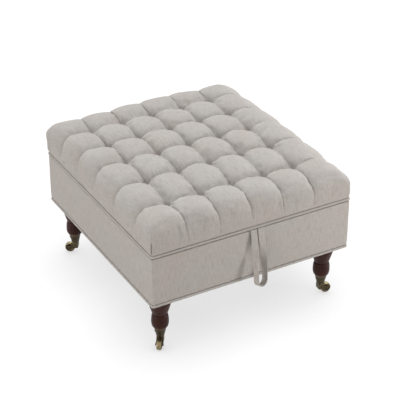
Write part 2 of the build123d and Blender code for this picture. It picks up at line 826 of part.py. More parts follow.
    # Brass wheel with a crowned tread and dished faces
    with BuildPart() as wheel:
        face = wheel_width / 2
        hub = face + wheel_hub_proud
        web = face - wheel_dish
        with BuildSketch(wheel_slice):
            with BuildLine():
                for side in (-1, 1):
                    Polyline(
                        (side * face, wheel_radius - wheel_edge_drop),
                        (side * face, wheel_radius - wheel_rim),
                        (side * web, wheel_radius - wheel_rim - wheel_dish),
                        (side * web, wheel_hub_radius),
                        (side * hub, wheel_hub_radius),
                        (side * hub, axle_radius + axle_running_clearance),
                    )
                Line(
                    (-hub, axle_radius + axle_running_clearance),
                    (hub, axle_radius + axle_running_clearance),
                )
                ThreePointArc(
                    (-face, wheel_radius - wheel_edge_drop),
                    (0, wheel_radius),
                    (face, wheel_radius - wheel_edge_drop),
                )
            make_face()
        revolve(axis=axle)
    keep(wheel, f"castor_wheel_{corner}")

# Swivel pins: a peened end in the cup, a shank through the boss and a head under it
with BuildPart() as swivel_pins:
    for x, y in leg_spots:
        with BuildSketch(Plane(origin=(x, y, 0), x_dir=(1, 0, 0), z_dir=(0, -1, 0))):
            with BuildLine():
                Polyline(
                    (0, boss_bottom - swivel_gap / 2 - swivel_head),
                    (swivel_head_radius, boss_bottom - swivel_gap / 2 - swivel_head),
                    (swivel_head_radius, boss_bottom - swivel_gap / 2),
                    (swivel_pin_radius, boss_bottom - swivel_gap / 2),
                    (swivel_pin_radius, cup_cavity_floor),
                    (swivel_head_radius, cup_cavity_floor),
                    (swivel_head_radius, pin_top),
                    (0, pin_top),
                    close=True,
                )
            make_face()
        revolve(axis=Axis((x, y, 0), (0, 0, 1)))
keep(swivel_pins, "swivel_pins")

# Round-headed screws through the cups into the legs
with BuildPart() as cup_screws:
    for x, y in leg_spots:
        for way in (-1, 1):
            screw_plane = Plane(origin=(x, y, cup_screw_z), x_dir=(0, 1, 0), z_dir=(way, 0, 0))
            with BuildSketch(screw_plane.offset(cup_screw_face)):
                Circle(cup_screw_radius)
            extrude(amount=-cup_screw_depth)
            with BuildSketch(screw_plane.offset(cup_screw_face)):
                Circle(cup_screw_head_radius)
            extrude(amount=cup_screw_head)
keep(cup_screws, "cup_screws")
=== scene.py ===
"""Storage ottoman: the looks of its tufted linen lid, linen box, turned legs and brass castors.

Metres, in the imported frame: X to the right along the front, Y to the back, Z up from the floor.
"""

import json
import logging
import math
from dataclasses import dataclass
from enum import Enum

import bmesh
import bpy
import numpy as np
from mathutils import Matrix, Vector


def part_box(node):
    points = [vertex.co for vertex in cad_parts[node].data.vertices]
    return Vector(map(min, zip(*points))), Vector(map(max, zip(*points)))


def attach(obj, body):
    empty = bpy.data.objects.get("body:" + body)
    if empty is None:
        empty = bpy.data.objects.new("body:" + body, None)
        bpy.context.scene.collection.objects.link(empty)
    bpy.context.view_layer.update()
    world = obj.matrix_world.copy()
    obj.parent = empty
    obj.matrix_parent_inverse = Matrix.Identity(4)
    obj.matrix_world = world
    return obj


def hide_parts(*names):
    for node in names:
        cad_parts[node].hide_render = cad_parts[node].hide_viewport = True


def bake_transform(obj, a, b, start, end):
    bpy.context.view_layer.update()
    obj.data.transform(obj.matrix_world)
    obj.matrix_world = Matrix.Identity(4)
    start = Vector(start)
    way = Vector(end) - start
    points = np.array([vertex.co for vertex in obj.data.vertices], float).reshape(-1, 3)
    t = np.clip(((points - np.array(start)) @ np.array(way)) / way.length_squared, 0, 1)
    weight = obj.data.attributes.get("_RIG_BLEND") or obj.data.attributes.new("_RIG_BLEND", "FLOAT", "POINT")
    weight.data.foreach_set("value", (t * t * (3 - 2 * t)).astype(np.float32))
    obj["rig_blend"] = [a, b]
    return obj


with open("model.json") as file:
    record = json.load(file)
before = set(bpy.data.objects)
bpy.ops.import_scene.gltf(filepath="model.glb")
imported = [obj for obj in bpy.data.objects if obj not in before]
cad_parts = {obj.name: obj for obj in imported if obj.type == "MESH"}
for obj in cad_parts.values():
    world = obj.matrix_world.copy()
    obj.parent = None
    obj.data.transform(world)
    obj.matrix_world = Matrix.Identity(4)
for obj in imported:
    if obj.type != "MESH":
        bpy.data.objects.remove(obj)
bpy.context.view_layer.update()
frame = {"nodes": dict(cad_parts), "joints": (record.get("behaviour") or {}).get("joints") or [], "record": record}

MM = 0.001
UV_NAME = "along_material"
WEAR_NAME = "wear"
MERGE_DISTANCE = 1e-6
CORNERS = ("front_left", "front_right", "back_left", "back_right")
UP = np.array((0.0, 0.0, 1.0))
PLAN = np.array((1.0, 1.0, 0.0))
LOG = logging.getLogger("ottoman")

Grid = np.ndarray
Material = bpy.types.Material
Piece = bpy.types.Object
Socket = bpy.types.NodeSocket
Pair = tuple[float, float]
Triple = tuple[float, float, float]


class Slot(Enum):
    """The record's material slots."""

    LINEN = "linen"
    LINING = "lining_cloth"
    DUST_CLOTH = "dust_cloth"
    TWINE = "twine"
    PLYWOOD = "plywood"
    SOFTWOOD = "softwood"
    STAINED_WOOD = "stained_wood"
    BRASS = "antique_brass"
    STEEL = "zinc_steel"
    RUBBER = "rubber_pad"


Dress = dict[Slot, Material]


@dataclass
class Surface:
    """A grid of points, with the distances along the material that go with them.

    Attributes:
        points: Places in metres, as rows by columns by three.
        uv: Distances along the cloth or grain in metres, as rows by columns by two.
        wear: How far the finish is rubbed, from 0 to 1, as rows by columns.
    """

    points: Grid
    uv: Grid
    wear: Grid | None = None


# Numbers and meshes


def mm(*sizes: float) -> tuple[float, ...]:
    """Turns millimetres into metres."""
    return tuple(size * MM for size in sizes)


def linear(colour: str) -> tuple[float, float, float, float]:
    """Turns an sRGB hex colour into linear RGBA.

    Args:
        colour: The colour, such as "#C0BAB4".

    Returns:
        Red, green, blue and an alpha of 1.
    """
    channels = np.array([int(colour[i:i + 2], 16) for i in (1, 3, 5)]) / 255.0
    low = channels / 12.92
    high = ((channels + 0.055) / 1.055) ** 2.4
    return (*np.where(channels <= 0.04045, low, high).tolist(), 1.0)


def smooth_step(value: Grid, start: float, end: float) -> Grid:
    """Rises from 0 at start to 1 at end as 3t squared minus 2t cubed.

    Args:
        value: The numbers to look up.
        start: Where the rise starts.
        end: Where it ends.

    Returns:
        The rise at each number.
    """
    t = np.clip((value - start) / (end - start), 0.0, 1.0)
    return t * t * (3.0 - 2.0 * t)


def ripple(a: Grid, b: Grid, length: float, seed: int, waves: int = 9) -> Grid:
    """Smooth unevenness: a sum of sine waves with seeded headings, lengths and phases.

    Args:
        a: First coordinate of each place, in metres.
        b: Second coordinate of each place, in metres.
        length: The usual wavelength, in metres.
        seed: Picks the waves.
        waves: How many waves are added.

    Returns:
        The sum at each place, mostly within -1 to 1.
    """
    rng = np.random.default_rng(seed)
    heading = rng.uniform(0.0, 2.0 * np.pi, waves)
    phase = rng.uniform(0.0, 2.0 * np.pi, waves)
    pace = 2.0 * np.pi / (length * rng.uniform(0.7, 1.5, waves))
    along = a[..., None] * np.cos(heading) + b[..., None] * np.sin(heading)
    return np.sin(along * pace + phase).sum(-1) / math.sqrt(waves)


def run_length(points: Grid) -> Grid:
    """Adds up the distance along a line of points.

    Args:
        points: The line, as points by coordinates.

    Returns:
        The distance from the first point to each point.
    """
    steps = np.linalg.norm(np.diff(points, axis=0), axis=1)
    return np.concatenate(([0.0], np.cumsum(steps)))


def arc_through(start: tuple, middle: tuple, end: tuple, count: int) -> Grid:
    """Points on the circle through three points of a plane.

    The centre is where the perpendicular bisectors of the two chords meet, and the points turn about it
    from start past middle to end.

    Args:
        start: First point.
        middle: A point that the arc passes.
        end: Last point.
        count: How many points.

    Returns:
        The points, as count by two.
    """
    p, q, r = (np.array(point, float) for point in (start, middle, end))
    chords = 2.0 * np.array([q - p, r - p])
    centre = np.linalg.solve(chords, np.array([q @ q - p @ p, r @ r - p @ p]))
    angle_p, angle_q, angle_r = (math.atan2(*(point - centre)[::-1]) for point in (p, q, r))
    to_q = (angle_q - angle_p) % (2.0 * np.pi)
    to_r = (angle_r - angle_p) % (2.0 * np.pi)
    turn = to_r if to_q < to_r else to_r - 2.0 * np.pi
    angle = angle_p + np.linspace(0.0, turn, count)
    return centre + np.linalg.norm(p - centre) * np.stack((np.cos(angle), np.sin(angle)), -1)


def rounded_outline(corners: list[tuple], radii: list[float], steps: int = 7) -> Grid:
    """A closed outline with its corners turned into arcs.

    Each corner of turn t and radius r is replaced by an arc that starts and ends r times tan(t / 2) from it.

    Args:
        corners: The corner points in order.
        radii: One radius for each corner.
        steps: Points on each arc.

    Returns:
        The outline, with its first point repeated at the end.
    """
    spots = np.array(corners, float)
    runs = []
    for spot, before, after, radius in zip(spots, np.roll(spots, 1, 0), np.roll(spots, -1, 0), radii):
        back = (before - spot) / np.linalg.norm(before - spot)
        ahead = (after - spot) / np.linalg.norm(after - spot)
        half = math.acos(np.clip(back @ ahead, -1.0, 1.0)) / 2.0
        reach = radius / math.tan(half)
        bisector = (back + ahead) / np.linalg.norm(back + ahead)
        middle = spot + bisector * (radius / math.sin(half) - radius)
        runs.append(arc_through(spot + back * reach, middle, spot + ahead * reach, steps))
    outline = np.concatenate(runs)
    return np.concatenate((outline, outline[:1]))


def rounded_loop(
    half: Pair, radius: float, inset: float, side: int, turn: int
) -> Grid:
    """A closed rectangle with round corners, drawn in from its outer line.

    The corner's centre stays in place while the inset is smaller than the radius, and moves in with it after
    that.

    Args:
        half: Half of the width and half of the depth.
        radius: Corner radius of the outer line.
        inset: How far inside the outer line the loop runs.
        side: Points on each straight side.
        turn: Points on each corner.

    Returns:
        Points and outward directions, as points by four, with the first repeated at the end.
    """
    hold = max(radius, inset + 0.5 * MM)
    runs = []
    for quarter, (sx, sy) in enumerate(((1, 1), (-1, 1), (-1, -1), (1, -1))):
        angle = quarter * np.pi / 2.0 + np.linspace(0.0, np.pi / 2.0, turn)
        ways = np.stack((np.cos(angle), np.sin(angle)), -1)
        centre = np.array((sx * (half[0] - hold), sy * (half[1] - hold)))
        runs.append(np.concatenate((centre + ways * (hold - inset), ways), 1))
    joined = []
    for run, following in zip(runs, runs[1:] + runs[:1]):
        share = np.linspace(0.0, 1.0, side + 2)[1:-1, None]
        joined += [run, run[-1:] * (1.0 - share) + following[:1] * share]
    loop = np.concatenate(joined)
    return np.concatenate((loop, loop[:1]))


def revolve(profile: Grid, foot: Grid, axis: Grid, sides: int) -> Surface:
    """Carries a profile round an axis: foot + height * axis + radius * (cos, sin) across the axis.

    Convex turns of the profile are marked as worn.

    Args:
        profile: Radius and height of each point.
        foot: Where the axis starts.
        axis: Direction of the axis, of length 1.
        sides: Steps round the axis.

    Returns:
        The surface, whose first and last columns coincide.
    """
    helper = np.array((1.0, 0.0, 0.0)) if abs(axis[2]) > 0.9 else np.array((0.0, 0.0, 1.0))
    first = np.cross(axis, helper)
    first /= np.linalg.norm(first)
    second = np.cross(axis, first)
    angle = np.linspace(0.0, 2.0 * np.pi, sides + 1)
    ring = np.cos(angle)[:, None] * first + np.sin(angle)[:, None] * second
    radius, height = profile[:, 0], profile[:, 1]
    points = foot + height[:, None, None] * axis + radius[:, None, None] * ring
    along = run_length(profile)
    uv = np.stack(np.broadcast_arrays(angle * radius.mean(), along[:, None]), -1)
    heading = np.unwrap(np.arctan2(np.gradient(height), np.gradient(radius)))
    wear = np.clip(np.abs(np.gradient(heading)) * 2.0, 0.0, 1.0)
    return Surface(points, uv, np.repeat(wear[:, None], sides + 1, 1))


def plate(
    outline: Grid, middle: tuple, spans: list[Pair]
) -> tuple[Grid, Grid]:
    """Closes a flat outline into a plate with eased edges.

    Each span is a distance across the plate and the share of the outline there, measured from its middle. The
    first and last rows shrink to the middle.

    Args:
        outline: The closed outline, as points by two.
        middle: A point from which the whole outline can be seen.
        spans: Distance across, and share of the outline, for each row.

    Returns:
        The plane places with the distance across, as rows by columns by three, and the wear of each.
    """
    across = np.array([spans[0][0], *(span[0] for span in spans), spans[-1][0]])
    share = np.array([0.0, *(span[1] for span in spans), 0.0])
    flat = np.array(middle) + (outline - np.array(middle)) * share[:, None, None]
    places = np.concatenate((flat, np.broadcast_to(across[:, None, None], flat.shape[:2] + (1,))), -1)
    wear = np.where(share > 0.0, 0.15, 0.0)
    return places, np.repeat(wear[:, None], len(outline), 1)


def thin_sheet(faces: list[Grid]) -> list[Surface]:
    """Closes the two faces of a sheet with a band round their rim.

    Args:
        faces: The places of both faces, as rows by columns by three.

    Returns:
        The surfaces, laid out on X and Y.
    """
    whole = slice(None)
    rims = ((0, whole), (-1, whole), (whole, 0), (whole, -1))
    grids = faces + [np.stack([face[rim] for face in faces]) for rim in rims]
    return [Surface(grid, grid[..., :2]) for grid in grids]


def corner_distance(x: Grid, y: Grid, half: Pair) -> Grid:
    """How far a place on a box lies from an upright corner: the larger of its two edge distances."""
    return np.maximum(half[0] - np.abs(x), half[1] - np.abs(y))


def corner_excess(x: Grid, y: Grid, limit: float) -> Grid:
    """Half of what x + y passes a slanting cut by, to be taken from each of them."""
    return np.maximum(np.abs(x) + np.abs(y) - limit, 0.0) / 2.0


def build_piece(
    name: str,
    surfaces: list[Surface],
    material: Material,
    sharp: float | None = None,
    closed: bool = True,
) -> Piece:
    """Joins grids into one mesh: points that coincide are merged, so that seams and poles close.

    Args:
        name: Name of the piece.
        surfaces: The grids.
        material: The finish.
        sharp: Angle in radians above which an edge is shaded sharp.
        closed: Whether the mesh is closed, and its faces can be turned outwards.

    Returns:
        The new object, at the origin.
    """
    start = 0
    quads = []
    for surface in surfaces:
        rows, columns = surface.points.shape[:2]
        place = start + np.arange(rows * columns).reshape(rows, columns)
        around = (place[:-1, :-1], place[1:, :-1], place[1:, 1:], place[:-1, 1:])
        quads.append(np.stack(around, -1).reshape(-1, 4))
        start += rows * columns
    faces = np.concatenate(quads)
    uv = np.concatenate([surface.uv.reshape(-1, 2) for surface in surfaces])[faces.ravel()]
    mesh = bpy.data.meshes.new(name)
    mesh.from_pydata(np.concatenate([surface.points.reshape(-1, 3) for surface in surfaces]), [], faces)
    mesh.uv_layers.new(name=UV_NAME).data.foreach_set("uv", uv.astype(np.float32).ravel())
    if surfaces[0].wear is not None:
        wear = np.concatenate([surface.wear.ravel() for surface in surfaces])
        rubbed = mesh.attributes.new(WEAR_NAME, "FLOAT", "POINT")
        rubbed.data.foreach_set("value", wear.astype(np.float32))
    shell = bmesh.new()
    shell.from_mesh(mesh)
    bmesh.ops.remove_doubles(shell, verts=shell.verts, dist=MERGE_DISTANCE)
    if closed:
        bmesh.ops.recalc_face_normals(shell, faces=shell.faces)
    shell.to_mesh(mesh)
    shell.free()
    mesh.shade_smooth()
    if sharp is not None:
        mesh.set_sharp_from_angle(angle=sharp)
    mesh.materials.append(material)
    piece = bpy.data.objects.new(name, mesh)
    bpy.context.scene.collection.objects.link(piece)
    LOG.info("%s: %d faces", name, len(mesh.polygons))
    return piece


def seat(piece: Piece, body: str, slot: Slot, *nodes: str) -> Piece:
    """Puts a piece on its body, in place of its frame nodes.

    Args:
        piece: The finished piece.
        body: The body that it moves with.
        slot: The record's slot that it takes its finish from. It is not used.
        nodes: The frame nodes that it stands for.

    Returns:
        The same piece.
    """
    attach(piece, body)
    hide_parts(*nodes)
    return piece


def joint_place(name: str) -> Grid:
    """Where a joint of the record lies, in metres."""
    return np.array(next(joint for joint in frame["joints"] if joint["name"] == name)["pos_m"], float)


# Finishes


def feed(tree: bpy.types.NodeTree, node: bpy.types.Node, inputs: dict) -> None:
    """Sets a node's inputs.

    Args:
        tree: The node tree.
        node: The node.
        inputs: Socket name or number, with a value or the output that feeds it.
    """
    for socket, value in inputs.items():
        if isinstance(value, Socket):
            tree.links.new(value, node.inputs[socket])
        else:
            node.inputs[socket].default_value = value


def add_node(
    tree: bpy.types.NodeTree, kind: str, inputs: dict | None = None, **settings: object
) -> bpy.types.Node:
    """Adds a node with its settings and links.

    Args:
        tree: The node tree.
        kind: The node's type name.
        inputs: Socket name or number, with a value or the output that feeds it.
        settings: Properties of the node.

    Returns:
        The new node.
    """
    node = tree.nodes.new(kind)
    for name, value in settings.items():
        setattr(node, name, value)
    feed(tree, node, inputs or {})
    return node


class Recipe:
    """A material in the making, with short ways to add the nodes that the finishes share.

    Attributes:
        material: The material.
        tree: Its node tree.
        shader: The shader on its output.
    """

    def __init__(self, name: str) -> None:
        """Starts a material.

        Args:
            name: Name of the finish.
        """
        self.material = bpy.data.materials.new(name)
        self.material.use_nodes = True
        self.tree = self.material.node_tree
        self.shader = self.tree.nodes["Principled BSDF"]

    def cloth(self) -> Socket:
        """The distances along the material, in metres."""
        return add_node(self.tree, "ShaderNodeUVMap", uv_map=UV_NAME).outputs["UV"]

    def place(self) -> Socket:
        """The object's own coordinates, in metres."""
        return add_node(self.tree, "ShaderNodeTexCoord").outputs["Object"]

    def axes(self, vector: Socket) -> list[Socket]:
        """The first two coordinates of a place."""
        return list(add_node(self.tree, "ShaderNodeSeparateXYZ", {0: vector}).outputs)[:2]

    def noise(
        self, vector: Socket, size_mm: tuple, detail: float, roughness: float = 0.5, shift: float = 0.0
    ) -> Socket:
        """Adds noise.

        Args:
            vector: The coordinates.
            size_mm: Size of a grain along each of them.
            detail: How many finer noises are added.
            roughness: How strong those are.
            shift: Picks another part of the noise.

        Returns:
            The noise, from 0 to 1.
        """
        scale = tuple(1.0 / (size * MM) for size in size_mm)
        laid = {"Vector": vector, "Location": (shift, shift, 0.0), "Scale": scale}
        mapped = add_node(self.tree, "ShaderNodeMapping", laid).outputs[0]
        noise = {"Vector": mapped, "Scale": 1.0, "Detail": detail, "Roughness": roughness}
        return add_node(self.tree, "ShaderNodeTexNoise", noise).outputs["Fac"]

    def sums(self, kind: str, *values: object) -> Socket:
        """Adds a sum of the named kind, of numbers or outputs."""
        return add_node(self.tree, "ShaderNodeMath", dict(enumerate(values)), operation=kind).outputs[0]

    def wave(self, value: Socket, length_mm: float) -> Socket:
        """Adds a sine wave of a distance, from -1 to 1."""
        return self.sums("SINE", self.sums("MULTIPLY", value, 2.0 * np.pi / (length_mm * MM)))

    def spread(
        self, value: Socket, start: float, end: float, low: float = 0.0, high: float = 1.0
    ) -> Socket:
        """Carries a value from start and end over to low and high, and holds it at both ends."""
        inputs = {"Value": value, "From Min": start, "From Max": end, "To Min": low, "To Max": high}
        return add_node(self.tree, "ShaderNodeMapRange", inputs).outputs[0]

    def mix(self, share: Socket, first: object, second: object) -> Socket:
        """Mixes two colours.

        Args:
            share: Share of the second colour.
            first: A hex colour or an output.
            second: Another.

        Returns:
            The mixed colour.
        """
        ends = [linear(colour) if isinstance(colour, str) else colour for colour in (first, second)]
        inputs = {"Factor": share, 6: ends[0], 7: ends[1]}
        return add_node(self.tree, "ShaderNodeMix", inputs, data_type="RGBA").outputs[2]

    def finish(
        self, inputs: dict, relief: Socket | None = None, strength: float = 0.0, depth_mm: float = 0.0
    ) -> Material:
        """Feeds the shader.

        Args:
            inputs: The shader's inputs.
            relief: Height of the surface's relief.
            strength: How strongly it shows.
            depth_mm: How deep it is.

        Returns:
            The material.
        """
        feed(self.tree, self.shader, inputs)
        if relief is not None:
            bump = {"Height": relief, "Strength": strength, "Distance": depth_mm * MM}
            feed(self.tree, self.shader, {"Normal": add_node(self.tree, "ShaderNodeBump", bump).outputs[0]})
        return self.material


@dataclass(frozen=True)
class SlubLinen:
    """Greige linen in plain weave from thick-and-thin flax yarn, washed: dull, soft, streaked both ways."""

    name: str = "slub_linen"
    ground: str = "#BCB8B4"
    pale_yarn: str = "#CECBC8"
    dark_yarn: str = "#9D958E"
    warm_cast: str = "#BDB4AE"
    thread_mm: float = 2.0
    slub_mm: Pair = (26.0, 2.4)
    slub_roughness: float = 0.6
    cast_mm: float = 110.0
    thread_height: float = 0.22
    relief_mm: float = 0.5

    def material(self) -> Material:
        """Builds the cloth. The yarn is drawn about twice as coarse as it is, so that it shows in the render.

        Returns:
            The material.
        """
        recipe = Recipe(self.name)
        cloth = recipe.cloth()
        length, width = self.slub_mm
        pale = recipe.noise(cloth, (length, width, 1000.0), 3.0, self.slub_roughness)
        dark = recipe.noise(cloth, (width, length, 1000.0), 3.0, self.slub_roughness, shift=7.3)
        weave = recipe.sums("MULTIPLY", *(recipe.wave(way, self.thread_mm) for way in recipe.axes(cloth)))
        cast = recipe.noise(cloth, (self.cast_mm,) * 3, 2.0)
        colour = self.ground
        for layer, start, end, tone in (
            (cast, 0.35, 0.75, self.warm_cast),
            (pale, 0.46, 0.80, self.pale_yarn),
            (dark, 0.46, 0.84, self.dark_yarn),
            (weave, -0.6, 4.0, self.pale_yarn),
        ):
            colour = recipe.mix(recipe.spread(layer, start, end), colour, tone)
        height = recipe.sums("MULTIPLY_ADD", weave, self.thread_height, recipe.sums("ADD", pale, dark))
        look = {"Base Color": colour, "Roughness": 0.93, "Specular IOR Level": 0.2}
        look |= {"Sheen Weight": 0.18, "Sheen Roughness": 0.5}
        return recipe.finish(look, height, strength=0.6, depth_mm=self.relief_mm)


@dataclass(frozen=True)
class CottonTwill:
    """Grey-brown lining cotton in twill weave: flat, dull, with fine slanting ribs."""

    name: str = "cotton_twill"
    ground: str = "#5E5853"
    rib: str = "#6C6660"
    rib_mm: float = 3.0
    rib_share: float = 0.35
    cast_mm: float = 70.0

    def material(self) -> Material:
        """Builds the cloth. The ribs are drawn about twice as coarse as they are, so that they show.

        Returns:
            The material.
        """
        recipe = Recipe(self.name)
        cloth = recipe.cloth()
        rib = recipe.wave(recipe.sums("ADD", *recipe.axes(cloth)), self.rib_mm)
        cast = recipe.noise(cloth, (self.cast_mm,) * 3, 4.0)
        share = recipe.spread(recipe.sums("MULTIPLY_ADD", rib, self.rib_share, cast), 0.1, 0.95)
        colour = recipe.mix(share, self.ground, self.rib)
        look = {"Base Color": colour, "Roughness": 0.9, "Specular IOR Level": 0.2}
        return recipe.finish(look, rib, strength=0.35, depth_mm=0.2)


@dataclass(frozen=True)
class SpunbondCloth:
    """Black spun-bonded cloth under the box: dull felted fibre, pressed with rows of small dots."""

    name: str = "spunbond_cloth"
    ground: str = "#262524"
    dot: str = "#343230"
    dot_mm: float = 3.5
    disorder: float = 0.15

    def material(self) -> Material:
        """Builds the cloth. The dots are drawn about twice as coarse as they are, so that they show.

        Returns:
            The material.
        """
        recipe = Recipe(self.name)
        laid = {"Vector": recipe.cloth(), "Scale": 1.0 / (self.dot_mm * MM), "Randomness": self.disorder}
        dots = add_node(recipe.tree, "ShaderNodeTexVoronoi", laid)
        share = recipe.spread(dots.outputs["Distance"], 0.25, 0.4)
        look = {"Base Color": recipe.mix(share, self.dot, self.ground), "Roughness": 0.88}
        return recipe.finish(look, share, strength=0.4, depth_mm=0.15)


@dataclass(frozen=True)
class GrainedWood:
    """Wood whose grain is noise drawn out along one way, on object or material coordinates.

    Attributes:
        name: The wood and how it was finished.
        pale: Colour between the growth lines.
        dark: Colour of the growth lines and pores.
        grain_mm: Size of a grain streak along X, Y and Z, or across and along the material.
        on_material: Whether the grain follows the piece's own coordinates.
        roughness: Roughness of the streaks, dullest and shiniest.
        shine: Strength of the reflection, 0.5 for bare wood.
        relief_mm: Depth of the open grain.
    """

    name: str
    pale: str
    dark: str
    grain_mm: Triple
    on_material: bool = False
    roughness: Pair = (0.6, 0.45)
    shine: float = 0.5
    relief_mm: float = 0.08

    def material(self) -> Material:
        """Builds the wood.

        Returns:
            The material.
        """
        recipe = Recipe(self.name)
        place = recipe.cloth() if self.on_material else recipe.place()
        streak = recipe.spread(recipe.noise(place, self.grain_mm, 5.0, 0.62), 0.36, 0.66)
        look = {"Base Color": recipe.mix(streak, self.dark, self.pale), "Specular IOR Level": self.shine}
        look["Roughness"] = recipe.spread(streak, 0.0, 1.0, *self.roughness)
        return recipe.finish(look, streak, strength=0.3, depth_mm=self.relief_mm)


@dataclass(frozen=True)
class AntiqueBrass:
    """Cast brass with a brown chemical patina, rubbed bright on its edges and treads."""

    name: str = "antique_brass"
    patina: str = "#4F4636"
    deep_patina: str = "#3A3226"
    rubbed: str = "#B3A27C"
    cloud_mm: float = 9.0
    speck_mm: float = 1.6
    roughness: Pair = (0.26, 0.5)

    def material(self) -> Material:
        """Builds the metal. The wear attribute says where the patina is rubbed off.

        Returns:
            The material.
        """
        recipe = Recipe(self.name)
        place = recipe.place()
        cloud = recipe.noise(place, (self.cloud_mm,) * 3, 4.0)
        speck = recipe.noise(place, (self.speck_mm,) * 3, 2.0)
        worn = add_node(recipe.tree, "ShaderNodeAttribute", attribute_name=WEAR_NAME).outputs["Fac"]
        base = recipe.mix(recipe.spread(cloud, 0.35, 0.65), self.deep_patina, self.patina)
        colour = recipe.mix(recipe.sums("MULTIPLY", worn, speck), base, self.rubbed)
        look = {"Base Color": colour, "Metallic": 1.0}
        look["Roughness"] = recipe.spread(cloud, 0.0, 1.0, *self.roughness)
        return recipe.finish(look, speck, strength=0.25, depth_mm=0.1)


@dataclass(frozen=True)
class ZincPlatedSteel:
    """Pressed steel with bright zinc plating: pale grey, finely scored, with cloudy spangle."""

    name: str = "zinc_plated_steel"
    bright: str = "#C4C6C6"
    cloudy: str = "#9A9C9B"
    score_mm: Triple = (30.0, 0.5, 0.5)
    roughness: Pair = (0.3, 0.48)

    def material(self) -> Material:
        """Builds the metal.

        Returns:
            The material.
        """
        recipe = Recipe(self.name)
        score = recipe.noise(recipe.place(), self.score_mm, 3.0)
        look = {"Base Color": recipe.mix(score, self.cloudy, self.bright), "Metallic": 1.0}
        look["Roughness"] = recipe.spread(score, 0.0, 1.0, *self.roughness)
        return recipe.finish(look)


@dataclass(frozen=True)
class FineGrain:
    """A dull material with a fine even grain, such as moulded rubber or spun twine.

    Attributes:
        name: The material and how it was made.
        pale: Colour of the high grains.
        dark: Colour between them.
        grain_mm: Size of a grain along X, Y and Z.
        roughness: Its roughness.
    """

    name: str
    pale: str
    dark: str
    grain_mm: Triple
    roughness: float = 0.8

    def material(self) -> Material:
        """Builds the material.

        Returns:
            The material.
        """
        recipe = Recipe(self.name)
        grain = recipe.noise(recipe.place(), self.grain_mm, 3.0)
        look = {"Base Color": recipe.mix(grain, self.dark, self.pale), "Roughness": self.roughness}
        return recipe.finish(look, grain, strength=0.4, depth_mm=0.1)


def finishes() -> Dress:
    """Builds every finish once.

    Returns:
        The material of each slot.
    """
    made = {
        Slot.LINEN: SlubLinen(),
        Slot.LINING: CottonTwill(),
        Slot.DUST_CLOTH: SpunbondCloth(),
        Slot.TWINE: FineGrain("spun_jute_twine", "#C9BB9B", "#8F7F60", (0.6, 0.6, 1.8), 0.9),
        Slot.PLYWOOD: GrainedWood("birch_plywood", "#D3B384", "#B08A58", (60.0, 4.0, 2.2)),
        Slot.SOFTWOOD: GrainedWood("planed_pine", "#DDB980", "#BF8F52", (4.0, 4.0, 60.0)),
        Slot.STAINED_WOOD: GrainedWood(
            "stained_mahogany", "#46221A", "#26100D", (2.2, 45.0, 1.0), True, (0.5, 0.36), 0.16, 0.05
        ),
        Slot.BRASS: AntiqueBrass(),
        Slot.STEEL: ZincPlatedSteel(),
        Slot.RUBBER: FineGrain("moulded_rubber", "#3A3937", "#262524", (0.8, 0.8, 0.8), 0.75),
    }
    return {slot: finish.material() for slot, finish in made.items()}


# Sub-assemblies


def open_box(across: Grid, along: Grid, drops: Grid) -> list[tuple[Grid, ...]]:
    """Lays out a box without its bottom: a top, and four sides that share the top's edges.

    Args:
        across: Stations from the left edge to the right one.
        along: Stations from the front edge to the back one.
        drops: Stations down the sides, from 0.

    Returns:
        For each panel, its x, y and drop, as grids, and the cloth coordinates, which run on over the edges.
    """
    panels = []
    x, y = np.meshgrid(across, along, indexing="ij")
    panels.append((x, y, np.zeros_like(x), x, y))
    for edge in (across[0], across[-1]):
        y, drop = np.meshgrid(along, drops, indexing="ij")
        panels.append((np.full_like(y, edge), y, drop, edge + np.sign(edge) * drop, y))
    for edge in (along[0], along[-1]):
        x, drop = np.meshgrid(across, drops, indexing="ij")
        panels.append((x, np.full_like(x, edge), drop, x, edge + np.sign(edge) * drop))
    return panels


def eased_stations(marks: Grid, counts: list[int]) -> Grid:
    """Stations that crowd at the marks: between two marks they follow half a cosine wave.

    Args:
        marks: The marks in rising order.
        counts: Steps between each two marks.

    Returns:
        The stations, marks included.
    """
    runs = [marks[:1]]
    for low, high, count in zip(marks[:-1], marks[1:], counts):
        share = (1.0 - np.cos(np.linspace(0.0, np.pi, count + 1)[1:])) / 2.0
        runs.append(low + (high - low) * share)
    return np.concatenate(runs)


